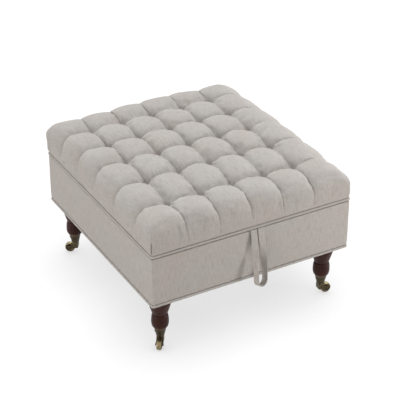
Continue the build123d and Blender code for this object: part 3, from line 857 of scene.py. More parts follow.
@dataclass
class TuftedLid:
    """The lid's cushion with its dimples, puffs and pleats, its buttons, its twines and its lining.

    Attributes:
        dress: The finishes.
        tufts: Dimples in each row and column.
        pitch: Distance between dimples, across and along.
        stray: How far each line of dimples strays from its even place: the lines that run from front to back,
            left first, and those that run from side to side, front first.
        valley: Depth of the rounded valley along a row of dimples.
        fullness: How round the puffs are, from 0 for a shallow bow to 1 for half a ball.
        saddle: Share of its depth that a valley loses between two dimples, from front to back and from side
            to side.
        saddle_end: Distance over which that loss ends past the outer dimples.
        pleat: Extra depth of the sharp pleat in its middle, from front to back and from side to side.
        pleat_width: How fast the pleat rises, on its steep and on its slack side.
        blend: Power that joins two crossing valleys, 1 for their sum.
        pit: Extra depth of a dimple.
        pit_width: Half width of a dimple.
        folds: How many small folds fan out from a dimple.
        fold_turn: How far these turn from one dimple to the next, across and along.
        fold: Their height, how far they reach, and where they start.
        lasting: Share of a valley's depth that lasts to the edge, on the left, right, front and back.
        quick: Distance over which the rest dies out past the outer dimples.
        side_fade: Distance down the side where the valleys start to fade, and where they end.
        crown: Drop of the crown from the middle to the outer dimples, across and along.
        shoulder: Radii of the rounded top edge: across on the left and on the right, and along.
        shoulder_height: Its height, on the left and on the right.
        shoulder_change: Shares of the half width between which the one height changes into the other.
        lean: How far the soft top leans to the left.
        lean_start: Share of the half width, left of the middle, where the lean is whole. It is none at the
            left edge.
        square: How square the upright corners are, at the top and at the seam.
        square_drop: Drops between which the one changes into the other.
        join: Distance from an upright corner within which the cloth of both sides runs together.
        uneven: How unevenly the tufts are drawn in: share, length and seed of the waves.
        waves: Depth, length and seed of the cover's own waves.
        sway: Depth, length and seeds of its drift across and along.
        side_start: Drops between which the top changes into the side.
        gather: Depth and length of the gathers on the sides.
        gather_waves: Length and seed of the waves that move the gathers, and of those that set their depth.
        hem: Height over the seam where gathers and bulge end.
        rise: Height of the cushion above its seam.
        tuck: Radius by which the cover rolls in to the seam.
        bulge: How far the sides swell over the seam.
        flatten: Share of the relief that ends at the seam, and the height over which it does.
        slit_height: Height of the fold at the upright corners.
        slit_full: Share of that height where the fold has its whole depth.
        slit_depth: Depth of that fold.
        slit_width: How fast it ends to both sides.
        slit_end: Share that it loses at the seam, and the heights over the seam between which it does.
        under_gap: From the cover's rim in to the board.
        steps: Steps of the mesh past the outer dimples, between two dimples, and down the sides.
        ease: How much larger the cloth is cut than its place.
        pressure: How hard the filling presses on the cloth as it settles.
        settle_frames: Frames of settling.
        settle_cap: How far a point may move as the cloth settles.
        hold_pleat: How firmly a pleat is held, how fast that ends beside it, and past the outer dimples.
        hold_dimple: Distances from a dimple between which the hold ends.
        hold_seam: Heights over the board between which the seam's hold ends.
        hold_fold: Distances from an upright corner, and heights, between which the hold of its fold ends.
        hold_levels: Steps of the hold.
        corner_push: Share of the cap by which the upright corners are pushed out.
        corner_even: Distances from an upright corner, and heights, between which that push starts or ends.
        lining_hem: Distances from the lining's edge between which its turned hem ends.
        lining_fold: Height of that hem.
        lining_pucker: Depth of the lining's puckers, how fast they end, and length and seed of their waves.
        button: Radius and height of a covered button, and how far its back reaches down.
        knot: Radius of a twine's knot and of the twine.
    """

    dress: Dress
    tufts: int = 5
    pitch: Pair = mm(103.0, 122.5)
    stray: tuple[tuple[float, ...], tuple[float, ...]] = (
        mm(-8.0, -8.0, -8.0, -8.0, -8.0),
        mm(7.0, 13.0, 15.0, 9.0, 2.0),
    )
    valley: float = 20.5 * MM
    fullness: float = 0.7
    saddle: Pair = (0.5, 0.36)
    saddle_end: float = 4.0 * MM
    pleat: Pair = mm(0.3, 1.0)
    pleat_width: Pair = mm(2.5, 5.0)
    blend: float = 1.5
    pit: float = 9.0 * MM
    pit_width: float = 8.0 * MM
    folds: float = 8.0
    fold_turn: Pair = (1.7, 2.9)
    fold: Triple = mm(1.1, 24.0, 7.0)
    lasting: tuple[float, float, float, float] = (0.92, 0.28, 0.42, 0.15)
    quick: float = 40.0 * MM
    side_fade: Pair = mm(40.0, 116.0)
    crown: Pair = mm(4.0, 10.0)
    shoulder: Triple = mm(40.0, 80.0, 38.0)
    shoulder_height: Pair = mm(46.0, 68.0)
    shoulder_change: Pair = (0.4, 0.9)
    lean: float = 11.5 * MM
    lean_start: float = 0.55
    square: Pair = (4.2, 14.0)
    square_drop: Pair = mm(20.0, 90.0)
    join: float = 14.0 * MM
    uneven: tuple[float, float, int] = (0.07, 0.21, 3)
    waves: tuple[tuple[float, float, int], ...] = ((0.9 * MM, 0.10, 5), (0.25 * MM, 0.028, 7))
    sway: tuple[float, float, tuple[int, int]] = (1.6 * MM, 0.16, (17, 19))
    side_start: Pair = mm(8.0, 40.0)
    gather: Pair = mm(0.55, 13.0)
    gather_waves: tuple[tuple[float, int], tuple[float, int]] = ((0.12, 11), (0.09, 13))
    hem: float = 16.0 * MM
    rise: float = 120.0 * MM
    tuck: float = 4.0 * MM
    bulge: float = 3.5 * MM
    flatten: Pair = (0.7, 14.0 * MM)
    slit_height: float = 60.0 * MM
    slit_full: float = 0.7
    slit_depth: float = 9.0 * MM
    slit_width: float = 2.2 * MM
    slit_end: Triple = (0.6, 12.0 * MM, 5.0 * MM)
    under_gap: float = 2.0 * MM
    steps: tuple[int, int, int] = (26, 22, 30)
    ease: float = 0.05
    pressure: float = 4.0
    settle_frames: int = 20
    settle_cap: float = 6.0 * MM
    hold_pleat: Triple = (0.5, 4.0 * MM, 60.0 * MM)
    hold_dimple: Pair = mm(5.0, 16.0)
    hold_seam: Pair = mm(4.0, 16.0)
    hold_fold: tuple[Pair, Pair] = (mm(8.0, 22.0), mm(40.0, 70.0))
    hold_levels: int = 20
    corner_push: float = 0.5
    corner_even: tuple[Pair, Pair] = (mm(25.0, 85.0), mm(25.0, 70.0))
    lining_hem: Pair = mm(11.0, 13.0)
    lining_fold: float = 0.45 * MM
    lining_pucker: tuple[float, float, float, int] = (0.12 * MM, 30.0 * MM, 0.05, 23)
    button: Triple = mm(8.0, 4.0, 1.5)
    knot: Pair = mm(4.0, 1.0)

    def __post_init__(self) -> None:
        """Takes the outer sizes from the frame."""
        high = np.array(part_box("lid_cushion")[1])
        self.half = (high[0], high[1])
        self.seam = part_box("lid_piping")[1].z
        self.board_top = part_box("lid_board")[1].z
        self.reach = tuple((self.tufts - 1) / 2.0 * pitch for pitch in self.pitch)

    def even_lines(self, way: int) -> Grid:
        """Even places of the lines of dimples: 0 for those that run from front to back, 1 for the others."""
        return np.linspace(-self.reach[way], self.reach[way], self.tufts)

    def lines(self, way: int) -> Grid:
        """Places of the same lines on the cover, where they stray from the even ones."""
        return self.even_lines(way) + np.array(self.stray[way])

    def nearest_line(self, place: Grid, way: int) -> tuple[Grid, Grid, Grid]:
        """Finds the nearest line of dimples.

        Args:
            place: Cloth coordinate across the lines.
            way: 0 for the lines that run from front to back, 1 for those that run from side to side.

        Returns:
            The signed distance from the line, its number, and the distance past the outermost line.
        """
        lines = self.lines(way)
        number = np.abs(place[..., None] - lines).argmin(-1)
        past = np.maximum(np.maximum(lines[0] - place, place - lines[-1]), 0.0)
        return place - lines[number], number - (self.tufts - 1) / 2.0, past

    def draw_in(self, u: Grid, v: Grid) -> Grid:
        """How far the cover is drawn in at a place on the cloth.

        Each line of dimples has a valley between round puffs: with q = 1 - distance / half pitch, its depth
        is 1 - the root of (1 - fullness * q squared), the arc of a circle, and a sharp pleat, exp(-distance /
        pleat width), lies at its bottom. Between two dimples the valley rises by a part of a squared sine.
        Past the outer dimples it falls to a lasting share, which ends on the side. Crossing valleys join as
        the blend-th root of the sum of their powers. A dimple adds a round pit, exp(-(distance / pit width)
        squared / 2), with small folds that fan out from it.

        Args:
            u: Cloth coordinate across.
            v: Cloth coordinate along.

        Returns:
            The depth at each place.
        """
        off_u, line_u, past_u = self.nearest_line(u, 0)
        off_v, line_v, past_v = self.nearest_line(v, 1)
        left, right, front, back = self.lasting
        last_u = np.where(u > 0.0, right, left)
        last_v = np.where(v > 0.0, back, front)
        fall_u = np.abs(u) - self.half[0]
        fall_v = np.abs(v) - self.half[1]
        crest = 1.0 - math.sqrt(1.0 - self.fullness)
        steep, slack = self.pleat_width
        powers = np.zeros_like(u)
        for way, off, other, past, last, fall in (
            (0, off_u, off_v, past_v, last_v, fall_v),
            (1, off_v, off_u, past_u, last_u, fall_u),
        ):
            width = np.where(off > 0.0, steep, slack)
            inside = np.exp(-past / self.saddle_end)
            saddle = 1.0 - self.saddle[way] * inside * np.sin(np.pi * other / self.pitch[1 - way]) ** 2
            tail = last + (1.0 - last) * np.exp(-past / self.quick)
            tail = tail * (1.0 - smooth_step(fall, *self.side_fade))
            near = np.maximum(1.0 - np.abs(off) / (self.pitch[way] / 2.0), 0.0)
            round_part = self.valley * (1.0 - np.sqrt(1.0 - self.fullness * near ** 2)) / crest
            sharp_part = self.pleat[way] * np.exp(-np.abs(off) / width)
            powers += ((round_part + sharp_part) * saddle * tail) ** self.blend
        depth = powers ** (1.0 / self.blend)
        distance = np.hypot(off_u, off_v)
        depth += self.pit * np.exp(-(distance / self.pit_width) ** 2 / 2.0)
        across, along = self.fold_turn
        turn = np.arctan2(off_v, off_u) * self.folds + line_u * across + line_v * along
        height, reach, start = self.fold
        fan = np.exp(-distance / reach) * (1.0 - np.exp(-distance / start))
        return depth + height * fan * np.cos(turn)

    def shell(self, x: Grid, y: Grid, drop: Grid) -> tuple[Grid, Grid, Grid]:
        """Places the cushion's shell before the tufts: a box with round shoulders.

        A box point is pulled to the nearest point of a box that is smaller by the shoulder's radii, and
        pushed out again to an ellipsoid of those radii. The push's length mixes X and Y in a power that rises
        down the side, which squares the upright corners, and mixes in Z as a circle.

        Args:
            x: Box place across.
            y: Box place along.
            drop: Distance down from the top edge, 0 on the top.

        Returns:
            The inner places, the places on the shell, and the shell's normals.
        """
        left, right, ends = self.shoulder
        low, high = self.shoulder_height
        down = low + (high - low) * smooth_step(x, *(share * self.half[0] for share in self.shoulder_change))
        radii = np.stack(np.broadcast_arrays(np.where(x < 0.0, left, right), ends, down), -1)
        inner = np.stack((
            np.clip(x, left - self.half[0], self.half[0] - right),
            np.clip(y, ends - self.half[1], self.half[1] - ends),
            np.minimum(-drop, -down),
        ), -1)
        push = (np.stack((x, y, -drop), -1) - inner) / radii
        at_top, at_seam = self.square
        power = at_top + (at_seam - at_top) * smooth_step(drop, *self.square_drop)
        flat = (np.abs(push[..., 0]) ** power + np.abs(push[..., 1]) ** power) ** (1.0 / power)
        reach = push / np.hypot(flat, push[..., 2])[..., None]
        way = reach / radii
        return inner, inner + reach * radii, way / np.linalg.norm(way, axis=-1, keepdims=True)

    def cover_point(self, x: Grid, y: Grid, drop: Grid, u: Grid, v: Grid) -> Grid:
        """Places the cover: the shell, drawn in by the tufts against its normal, and crowned.

        Near an upright corner the cloth places of both sides run together, so that their edges join. The
        sides have gathers, a bulge, a fold at each corner and a roll in to the seam. All but the left edge
        leans to the left by the square of its height.

        Args:
            x: Box place across.
            y: Box place along.
            drop: Distance down from the top edge, 0 on the top.
            u: Cloth coordinate across.
            v: Cloth coordinate along.

        Returns:
            The places.
        """
        inner, place, way = self.shell(x, y, drop)
        to_corner = corner_distance(x, y, self.half)
        joined = np.exp(-(to_corner / self.join) ** 2)
        around = np.where(np.abs(u) > self.half[0], v, u)
        u = u - joined * (u - np.clip(u, -self.half[0], self.half[0]))
        v = v - joined * (v - np.clip(v, -self.half[1], self.half[1]))
        share, length, seed = self.uneven
        depth = self.draw_in(u, v) * (1.0 + share * ripple(u, v, length, seed))
        depth += sum(height * ripple(u, v, length, seed) for height, length, seed in self.waves)
        side = smooth_step(drop, *self.side_start)
        over_hem = side * (1.0 - smooth_step(drop, self.rise - self.hem, self.rise))
        height, length = self.gather
        drift, strength = self.gather_waves
        gather = np.sin(2.0 * np.pi * around / length + 2.0 * ripple(u, v, *drift))
        depth += (1.0 - joined) * over_hem * height * gather * ripple(around, around, *strength)
        depth -= over_hem * self.bulge
        slit = smooth_step(drop, self.rise - self.slit_height, self.rise - self.slit_full * self.slit_height)
        share, start, end = self.slit_end
        slit *= 1.0 - share * smooth_step(drop, self.rise - start, self.rise - end)
        depth += self.slit_depth * slit * np.exp(-to_corner / self.slit_width)
        share, start = self.flatten
        depth *= 1.0 - share * smooth_step(drop, self.rise - start, self.rise)
        roll = np.clip((drop - self.rise + 2.0 * self.tuck) / (2.0 * self.tuck), 0.0, 1.0)
        depth += self.tuck * (1.0 - np.sqrt(1.0 - roll ** 2))
        place = place - way * depth[..., None]
        far, length, seeds = self.sway
        for axis, seed in enumerate(seeds):
            place[..., axis] += (1.0 - side) * far * ripple(u, v, length, seed)
        over_x, over_y = (np.minimum(np.abs(inner[..., axis]) / self.reach[axis], 1.0) for axis in (0, 1))
        top = self.high_top - self.crown[0] * over_x ** 2 - self.crown[1] * over_y ** 2
        height = (place[..., 2] + self.rise) / self.rise
        leaning = smooth_step(x, -self.half[0], -self.lean_start * self.half[0])
        place[..., 0] -= self.lean * leaning * height ** 2
        place[..., 2] = self.seam + height * (top - self.seam)
        return place

    @property
    def high_top(self) -> float:
        """Height of the crown if no tuft drew it in, less what the cover gains as it settles."""
        return self.seam + self.rise - 0.75 * self.settle_cap

    def cushion(self) -> Piece:
        """Builds the cushion: the tufted cover, and an underside that fits over the lid board.

        Returns:
            The piece.
        """
        outer, between, down = self.steps
        stations = []
        for way in (0, 1):
            marks = np.concatenate(([-self.half[way]], self.lines(way), [self.half[way]]))
            stations.append(eased_stations(marks, [outer] + [between] * (self.tufts - 1) + [outer]))
        drops = eased_stations(np.array((0.0, self.rise)), [down])
        surfaces = []
        for x, y, drop, u, v in open_box(*stations, drops):
            surfaces.append(Surface(self.cover_point(x, y, drop, u, v), np.stack((u, v), -1)))
        draw = 1.0 - self.under_gap / np.array((*self.half, np.inf))
        for side in surfaces[1:]:
            rim = side.points[:, -1]
            board = rim * draw
            top = board * PLAN + self.board_top * UP
            under = np.stack((rim, board, top, np.zeros_like(top) + self.board_top * UP))
            surfaces.append(Surface(under, under[..., :2]))
        piece = build_piece("tufted_cushion", surfaces, self.dress[Slot.LINEN])
        self.settle(piece)
        return seat(piece, "lid", Slot.LINEN, "lid_cushion")

    def cloth_places(self, mesh: bpy.types.Mesh) -> Grid:
        """The cloth coordinates of a mesh's points, as points by two."""
        corner = np.empty(len(mesh.loops), np.int32)
        mesh.loops.foreach_get("vertex_index", corner)
        laid = np.empty(2 * len(mesh.loops), np.float32)
        mesh.uv_layers[UV_NAME].data.foreach_get("uv", laid)
        places = np.empty((len(mesh.vertices), 2), np.float32)
        places[corner] = laid.reshape(-1, 2)
        return places

    def hold(self, cloth: Grid, height: Grid, to_corner: Grid) -> Grid:
        """How firmly each point is held as the cover settles, at dimples, pleats, seam and folds.

        Args:
            cloth: The cloth coordinates.
            height: Height over the board.
            to_corner: Distance from the nearest upright corner.

        Returns:
            The hold, from 0 to 1.
        """
        off_u, _, past_u = self.nearest_line(cloth[:, 0], 0)
        off_v, _, past_v = self.nearest_line(cloth[:, 1], 1)
        firm, beside, past = self.hold_pleat
        across = np.abs(off_u) / beside + past_v / past
        along = np.abs(off_v) / beside + past_u / past
        near, low = self.hold_fold
        return np.maximum.reduce((
            firm * np.exp(-np.minimum(across, along)),
            1.0 - smooth_step(np.hypot(off_u, off_v), *self.hold_dimple),
            1.0 - smooth_step(height, *self.hold_seam),
            (1.0 - smooth_step(to_corner, *near)) * (1.0 - smooth_step(height, *low)),
        ))

    def settle(self, piece: Piece) -> None:
        """Lets the cover settle as cloth that the filling presses out.

        The cloth is cut a little larger than its place, and no point moves further than the cap: a move of
        length m becomes cap * tanh(m / cap). At the upright corners the cover is pushed out evenly instead,
        along its normals.

        Args:
            piece: The cushion.
        """
        mesh = piece.data
        rest = np.empty(3 * len(mesh.vertices), np.float32)
        mesh.vertices.foreach_get("co", rest)
        rest = rest.reshape(-1, 3)
        height = rest[:, 2] - self.board_top
        to_corner = corner_distance(rest[:, 0], rest[:, 1], self.half)
        held = self.hold(self.cloth_places(mesh), height, to_corner)
        group = piece.vertex_groups.new(name="held")
        level = np.round(held * self.hold_levels).astype(int)
        for step in range(1, self.hold_levels + 1):
            group.add(np.flatnonzero(level == step).tolist(), step / self.hold_levels, "REPLACE")
        cloth = piece.modifiers.new("settle", "CLOTH")
        for name, value in {
            "quality": 5,
            "mass": 0.2,
            "tension_stiffness": 20.0,
            "compression_stiffness": 20.0,
            "shear_stiffness": 8.0,
            "bending_stiffness": 0.4,
            "shrink_min": -self.ease,
            "use_pressure": True,
            "uniform_pressure_force": self.pressure,
            "vertex_group_mass": group.name,
        }.items():
            setattr(cloth.settings, name, value)
        cloth.settings.effector_weights.gravity = 0.0
        cloth.collision_settings.use_collision = False
        scene = bpy.context.scene
        for step in range(1, self.settle_frames + 1):
            scene.frame_set(step)
        settled = np.empty_like(rest).ravel()
        piece.evaluated_get(bpy.context.evaluated_depsgraph_get()).data.vertices.foreach_get("co", settled)
        move = settled.reshape(-1, 3) - rest
        length = np.linalg.norm(move, axis=1)
        LOG.info("settled by %.1f mm at most, %.1f mm as a mean", length.max() / MM, length.mean() / MM)
        move *= (np.tanh(length / self.settle_cap) * self.settle_cap / np.maximum(length, 1e-9))[:, None]
        outward = np.empty_like(rest).ravel()
        mesh.vertices.foreach_get("normal", outward)
        near, high = self.corner_even
        even = (1.0 - smooth_step(to_corner, *near)) * smooth_step(height, *high)
        move += even[:, None] * (self.corner_push * self.settle_cap * outward.reshape(-1, 3) - move)
        piece.modifiers.remove(cloth)
        piece.vertex_groups.remove(group)
        scene.frame_set(1)
        mesh.vertices.foreach_set("co", (rest + move).ravel())
        mesh.update()

    def dimples(self) -> Grid:
        """The lowest point of each dimple, as dimples by three."""
        x, y = (grid.ravel() for grid in np.meshgrid(self.lines(0), self.lines(1), indexing="ij"))
        return self.cover_point(x, y, np.zeros_like(x), x, y)

    def twines(self) -> Piece:
        """Builds the twines: each a cord from a flat knot, through its hole in the board, on to its button.

        Returns:
            The piece.
        """
        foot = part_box("tuft_twines")[0].z
        knot, cord = self.knot
        through = self.board_top - foot
        profile = np.array(
            ((0.0, 0.0), (knot, 0.0), (knot, cord), (cord, 2.0 * cord), (cord, through), (0.0, through))
        )
        x, y = (grid.ravel() for grid in np.meshgrid(self.even_lines(0), self.even_lines(1), indexing="ij"))
        surfaces = []
        for hole, bottom in zip(np.stack((x, y, np.full_like(x, foot)), -1), self.dimples()):
            surfaces.append(revolve(profile, hole, UP, 12))
            start = hole + (through - cord) * UP
            run = bottom - cord * UP - start
            length = float(np.linalg.norm(run))
            drawn = np.array(((0.0, 0.0), (cord, 0.0), (cord, length), (0.0, length)))
            surfaces.append(revolve(drawn, start, run / length, 12))
        piece = build_piece("tuft_twine_cords", surfaces, self.dress[Slot.TWINE], math.radians(40.0))
        return seat(piece, "lid", Slot.TWINE, "tuft_twines")

    def buttons(self) -> Piece:
        """Builds the covered buttons: low domes, radius times cosine by height times sine, in the dimples.

        Returns:
            The piece.
        """
        radius, height, back = self.button
        turn = np.linspace(0.0, np.pi / 2.0, 7)
        dome = np.stack((radius * np.cos(turn), height * np.sin(turn)), -1)
        profile = np.concatenate((((0.0, -back), (radius - 1.0 * MM, -back)), dome))
        surfaces = []
        for bottom in self.dimples():
            button = revolve(profile, bottom + 0.5 * MM * UP, UP, 20)
            surfaces.append(Surface(button.points, button.points[..., :2]))
        piece = build_piece("covered_buttons", surfaces, self.dress[Slot.LINEN])
        return seat(piece, "lid", Slot.LINEN, "tuft_buttons")

    def lining(self) -> Piece:
        """Builds the cloth under the board: a thin stretched sheet, slightly puckered along its turned hem.

        Returns:
            The piece.
        """
        low, high = (np.array(corner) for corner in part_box("lid_lining"))
        x, y = np.meshgrid(np.linspace(low[0], high[0], 90), np.linspace(low[1], high[1], 94), indexing="ij")
        edge = np.minimum(high[0] - np.abs(x), high[1] - np.abs(y))
        hem = 1.0 - smooth_step(edge, *self.lining_hem)
        depth, fade, wave, seed = self.lining_pucker
        pucker = np.exp(-edge / fade) * ripple(x, y, wave, seed)
        under = low[2] + self.lining_fold * (1.0 - hem) + depth * pucker
        faces = [np.stack((x, y, height), -1) for height in (under, np.full_like(x, high[2]))]
        cotton = self.dress[Slot.LINING]
        piece = build_piece("lid_lining_cloth", thin_sheet(faces), cotton, math.radians(50.0))
        return seat(piece, "lid", Slot.LINING, "lid_lining")


@dataclass
class LinenBox:
    """The box's wadded linen cover, the piping of box and lid, the storage lining and the dust cloth.

    Attributes:
        dress: The finishes.
        corner: Corner radius of the cover.
        edge: Radius of the cover's top edge.
        tuck: Radius by which the cover rolls in to the piping at its bottom.
        wall_inset: From the outer face to the inner face of the walls.
        wadding: Thickness of cloth and wadding on the walls.
        turn_over: Thickness of the cloth over the walls' top edges.
        swell: How far the wadding swells in the middle of a face.
        face_steps: Points up a face.
        top_step: Inset of a point on the cover's top.
        flat_ends: Heights over the bottom and under the top within which the face turns flat.
        flat_corner: Distance from a corner within which the swelling ends.
        waves: Depth, length and seed of the face's waves, and how far they are drawn out upwards.
        strain: Depth of the folds at the corners, how fast they end, their height, and how near the corner
            they start.
        strain_slant: How these folds slant along the face.
        piping_corner: Corner radius of the piping's outer line.
        piping_uneven: Share, length and seed of the waves in the piping's radius.
        piping_flat: Power that flattens the piping's front.
        block: Leg of the triangular corner blocks that the lining follows.
        lining_cloth: Thickness of the storage lining.
        lining_loose: How far it stands off, and length and seed of those waves.
        lining_hem: Distance from its upper edge where it lies tight.
        lining_edge: Distance from the floor's edge where it lies tight.
        dust_sag: How far the dust cloth sags.
        dust_pucker: Depth of its puckers, how fast they end, and length and seed of their waves.
        dust_start: Distance from its edge where the puckers start.
        dust_gap: Between the dust cloth and a leg.
        dust_cloth_under: From the piece's top down to the cloth, and the cloth's thickness.
    """

    dress: Dress
    corner: float = 6.0 * MM
    edge: float = 2.5 * MM
    tuck: float = 5.0 * MM
    wall_inset: float = 21.0 * MM
    wadding: float = 6.0 * MM
    turn_over: float = 1.5 * MM
    swell: float = 1.2 * MM
    face_steps: int = 26
    top_step: float = 12.0 * MM
    flat_ends: Pair = mm(30.0, 24.0)
    flat_corner: float = 90.0 * MM
    waves: tuple[tuple[float, float, int, float], ...] = (
        (0.55 * MM, 0.13, 29, 1.0),
        (0.2 * MM, 0.035, 31, 0.35),
    )
    strain: tuple[float, float, float, float] = mm(0.5, 40.0, 11.0, 25.0)
    strain_slant: float = 9.0
    piping_corner: float = 9.0 * MM
    piping_uneven: tuple[float, float, int] = (0.03, 0.016, 37)
    piping_flat: float = 0.6
    block: float = 30.0 * MM
    lining_cloth: float = 1.2 * MM
    lining_loose: tuple[float, float, int] = (0.5 * MM, 0.11, 41)
    lining_hem: float = 25.0 * MM
    lining_edge: float = 30.0 * MM
    dust_sag: float = 1.6 * MM
    dust_pucker: tuple[float, float, float, int] = (0.5 * MM, 35.0 * MM, 0.045, 43)
    dust_start: float = 10.0 * MM
    dust_gap: float = 1.0 * MM
    dust_cloth_under: Pair = mm(0.2, 0.6)

    def __post_init__(self) -> None:
        """Takes the outer sizes from the frame."""
        low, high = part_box("front_cover")
        self.half = (high.x, -low.y)
        self.bottom = low.z
        self.top = high.z

    def cover(self) -> Piece:
        """Builds the cover: a closed section carried round the box.

        The section runs up the face, over a rounded edge, across the wall's top, and back down behind the
        face. The face swells by a squared sine of the height and of the way between two corners, and ripples
        slightly.

        Returns:
            The piece.
        """
        face_z = np.linspace(self.bottom + self.tuck, self.top - self.edge, self.face_steps)
        bend = np.linspace(0.0, np.pi / 2.0, 6)[1:]
        panel_top = self.top - self.turn_over
        inset = np.concatenate((
            self.tuck * (1.0 - np.cos(bend[::-1])),
            np.zeros(self.face_steps),
            self.edge * (1.0 - np.cos(bend)),
            (self.top_step, self.wall_inset, self.wall_inset, self.wadding, self.wadding, self.tuck),
        ))
        height = np.concatenate((
            self.bottom + self.tuck * (1.0 - np.sin(bend[::-1])),
            face_z,
            self.top - self.edge + self.edge * np.sin(bend),
            (self.top, self.top, panel_top, panel_top, self.bottom, self.bottom),
        ))
        loops = np.stack([rounded_loop(self.half, self.corner, value, 70, 9) for value in inset])
        length = run_length(loops[0, :, :2])
        points = np.concatenate(
            (loops[..., :2], np.broadcast_to(height[:, None, None], loops.shape[:2] + (1,))), -1
        )
        low, high = self.flat_ends
        up = smooth_step(height, self.bottom, self.bottom + low)
        up *= 1.0 - smooth_step(height, self.top - high, self.top)
        to_corner = corner_distance(points[..., 0], points[..., 1], self.half)
        full = smooth_step(to_corner, 0.0, self.flat_corner)
        along = np.broadcast_to(length, full.shape)
        tall = np.broadcast_to(height[:, None], full.shape)
        waves = sum(deep * ripple(along, tall * out, wave, seed) for deep, wave, seed, out in self.waves)
        deep, fade, fold, start = self.strain
        strain = np.sin((tall - self.bottom) / fold + along * self.strain_slant)
        tension = deep * np.exp(-to_corner / fade) * strain
        proud = up[:, None] * (self.swell * full + waves + tension * smooth_step(to_corner, 0.0, start))
        proud[inset > self.tuck] = 0.0
        points[..., :2] += loops[..., 2:] * proud[..., None]
        uv = np.stack(np.broadcast_arrays(length, run_length(np.stack((inset, height), -1))[:, None]), -1)
        piece = build_piece("box_cover", [Surface(points, uv)], self.dress[Slot.LINEN], math.radians(60.0))
        return seat(piece, "box", Slot.LINEN, "front_cover", "back_cover", "left_cover", "right_cover")

    def piping(self, node: str, body: str) -> Piece:
        """Builds a piped band: a pressed cord in bias-cut cloth, carried round the edge.

        Its section is a circle with a flattened front. The radius ripples slightly along the band, as cloth
        does over a cord.

        Args:
            node: The frame node that it stands for.
            body: The body that it moves with.

        Returns:
            The piece.
        """
        low, high = (np.array(corner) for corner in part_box(node))
        radius = (high[2] - low[2]) / 2.0
        loop = rounded_loop((high[0], high[1]), self.piping_corner, radius, 90, 9)
        length = run_length(loop[:, :2])
        angle = np.linspace(0.0, 2.0 * np.pi, 21)
        share, wave, seed = self.piping_uneven
        uneven = radius * (1.0 - share * (1.0 + ripple(length[:, None], 0.0 * angle, wave, seed)))
        flat = np.sign(np.cos(angle)) * np.abs(np.cos(angle)) ** self.piping_flat * uneven
        places = loop[:, None, :2] + loop[:, None, 2:] * flat[..., None]
        height = (low[2] + high[2]) / 2.0 + np.sin(angle) * uneven
        points = np.concatenate((places, height[..., None]), -1)
        bias = length[:, None] + angle * radius
        uv = np.stack((bias, length[:, None] - angle * radius), -1) * math.sqrt(0.5)
        piece = build_piece(f"{node}_cord", [Surface(points, uv)], self.dress[Slot.LINEN])
        return seat(piece, body, Slot.LINEN, node)

    def storage_lining(self) -> Piece:
        """Builds the storage lining: a cloth tray with cut corners, slightly loose on walls and floor.

        A tray's corner is cut where x + y passes the inner walls by more than the block's leg: half of the
        excess is taken from each. The cloth stands off by small ripples, towards the inside only.

        Returns:
            The piece.
        """
        low, high = (np.array(corner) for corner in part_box("storage_lining"))
        cloth = self.lining_cloth
        stand_off, wave, seed = self.lining_loose
        half = (high[0] - cloth, high[1] - cloth)
        floor = low[2] + cloth
        deep = high[2] - floor
        across = eased_stations(np.array((-half[0], half[0])), [70])
        along = eased_stations(np.array((-half[1], half[1])), [74])
        limit = half[0] + half[1] - self.block
        surfaces = []
        for x, y, drop, u, v in open_box(across, along, eased_stations(np.array((0.0, deep)), [16])):
            excess = corner_excess(x, y, limit)
            below_hem = 1.0 - smooth_step(drop, deep - self.lining_hem, deep)
            loose = stand_off * (1.0 + ripple(u, v, wave, seed)) * below_hem
            wall = drop > 0.0
            inwards = excess + np.where(wall, loose, 0.0)
            lift_x, lift_y = (
                smooth_step(edge - np.abs(place), 0.0, self.lining_edge) for edge, place in zip(half, (x, y))
            )
            height = floor + drop + np.where(wall, 0.0, loose * lift_x * lift_y)
            points = np.stack((x - np.sign(x) * inwards, y - np.sign(y) * inwards, height), -1)
            surfaces.append(Surface(points, np.stack((u, v), -1)))
        piece = build_piece("storage_lining_cloth", surfaces, self.dress[Slot.LINING], closed=False)
        self.face_up(piece)
        wall = piece.modifiers.new("cloth", "SOLIDIFY")
        wall.thickness = cloth
        wall.offset = -1.0
        return seat(piece, "box", Slot.LINING, "storage_lining")

    @staticmethod
    def face_up(piece: Piece) -> None:
        """Turns an open tray's faces to its inside, where its floor looks up."""
        shell = bmesh.new()
        shell.from_mesh(piece.data)
        bmesh.ops.recalc_face_normals(shell, faces=shell.faces)
        lowest = min(shell.faces, key=lambda face: face.calc_center_median().z)
        if lowest.normal.z < 0.0:
            bmesh.ops.reverse_faces(shell, faces=shell.faces)
        shell.to_mesh(piece.data)
        shell.free()

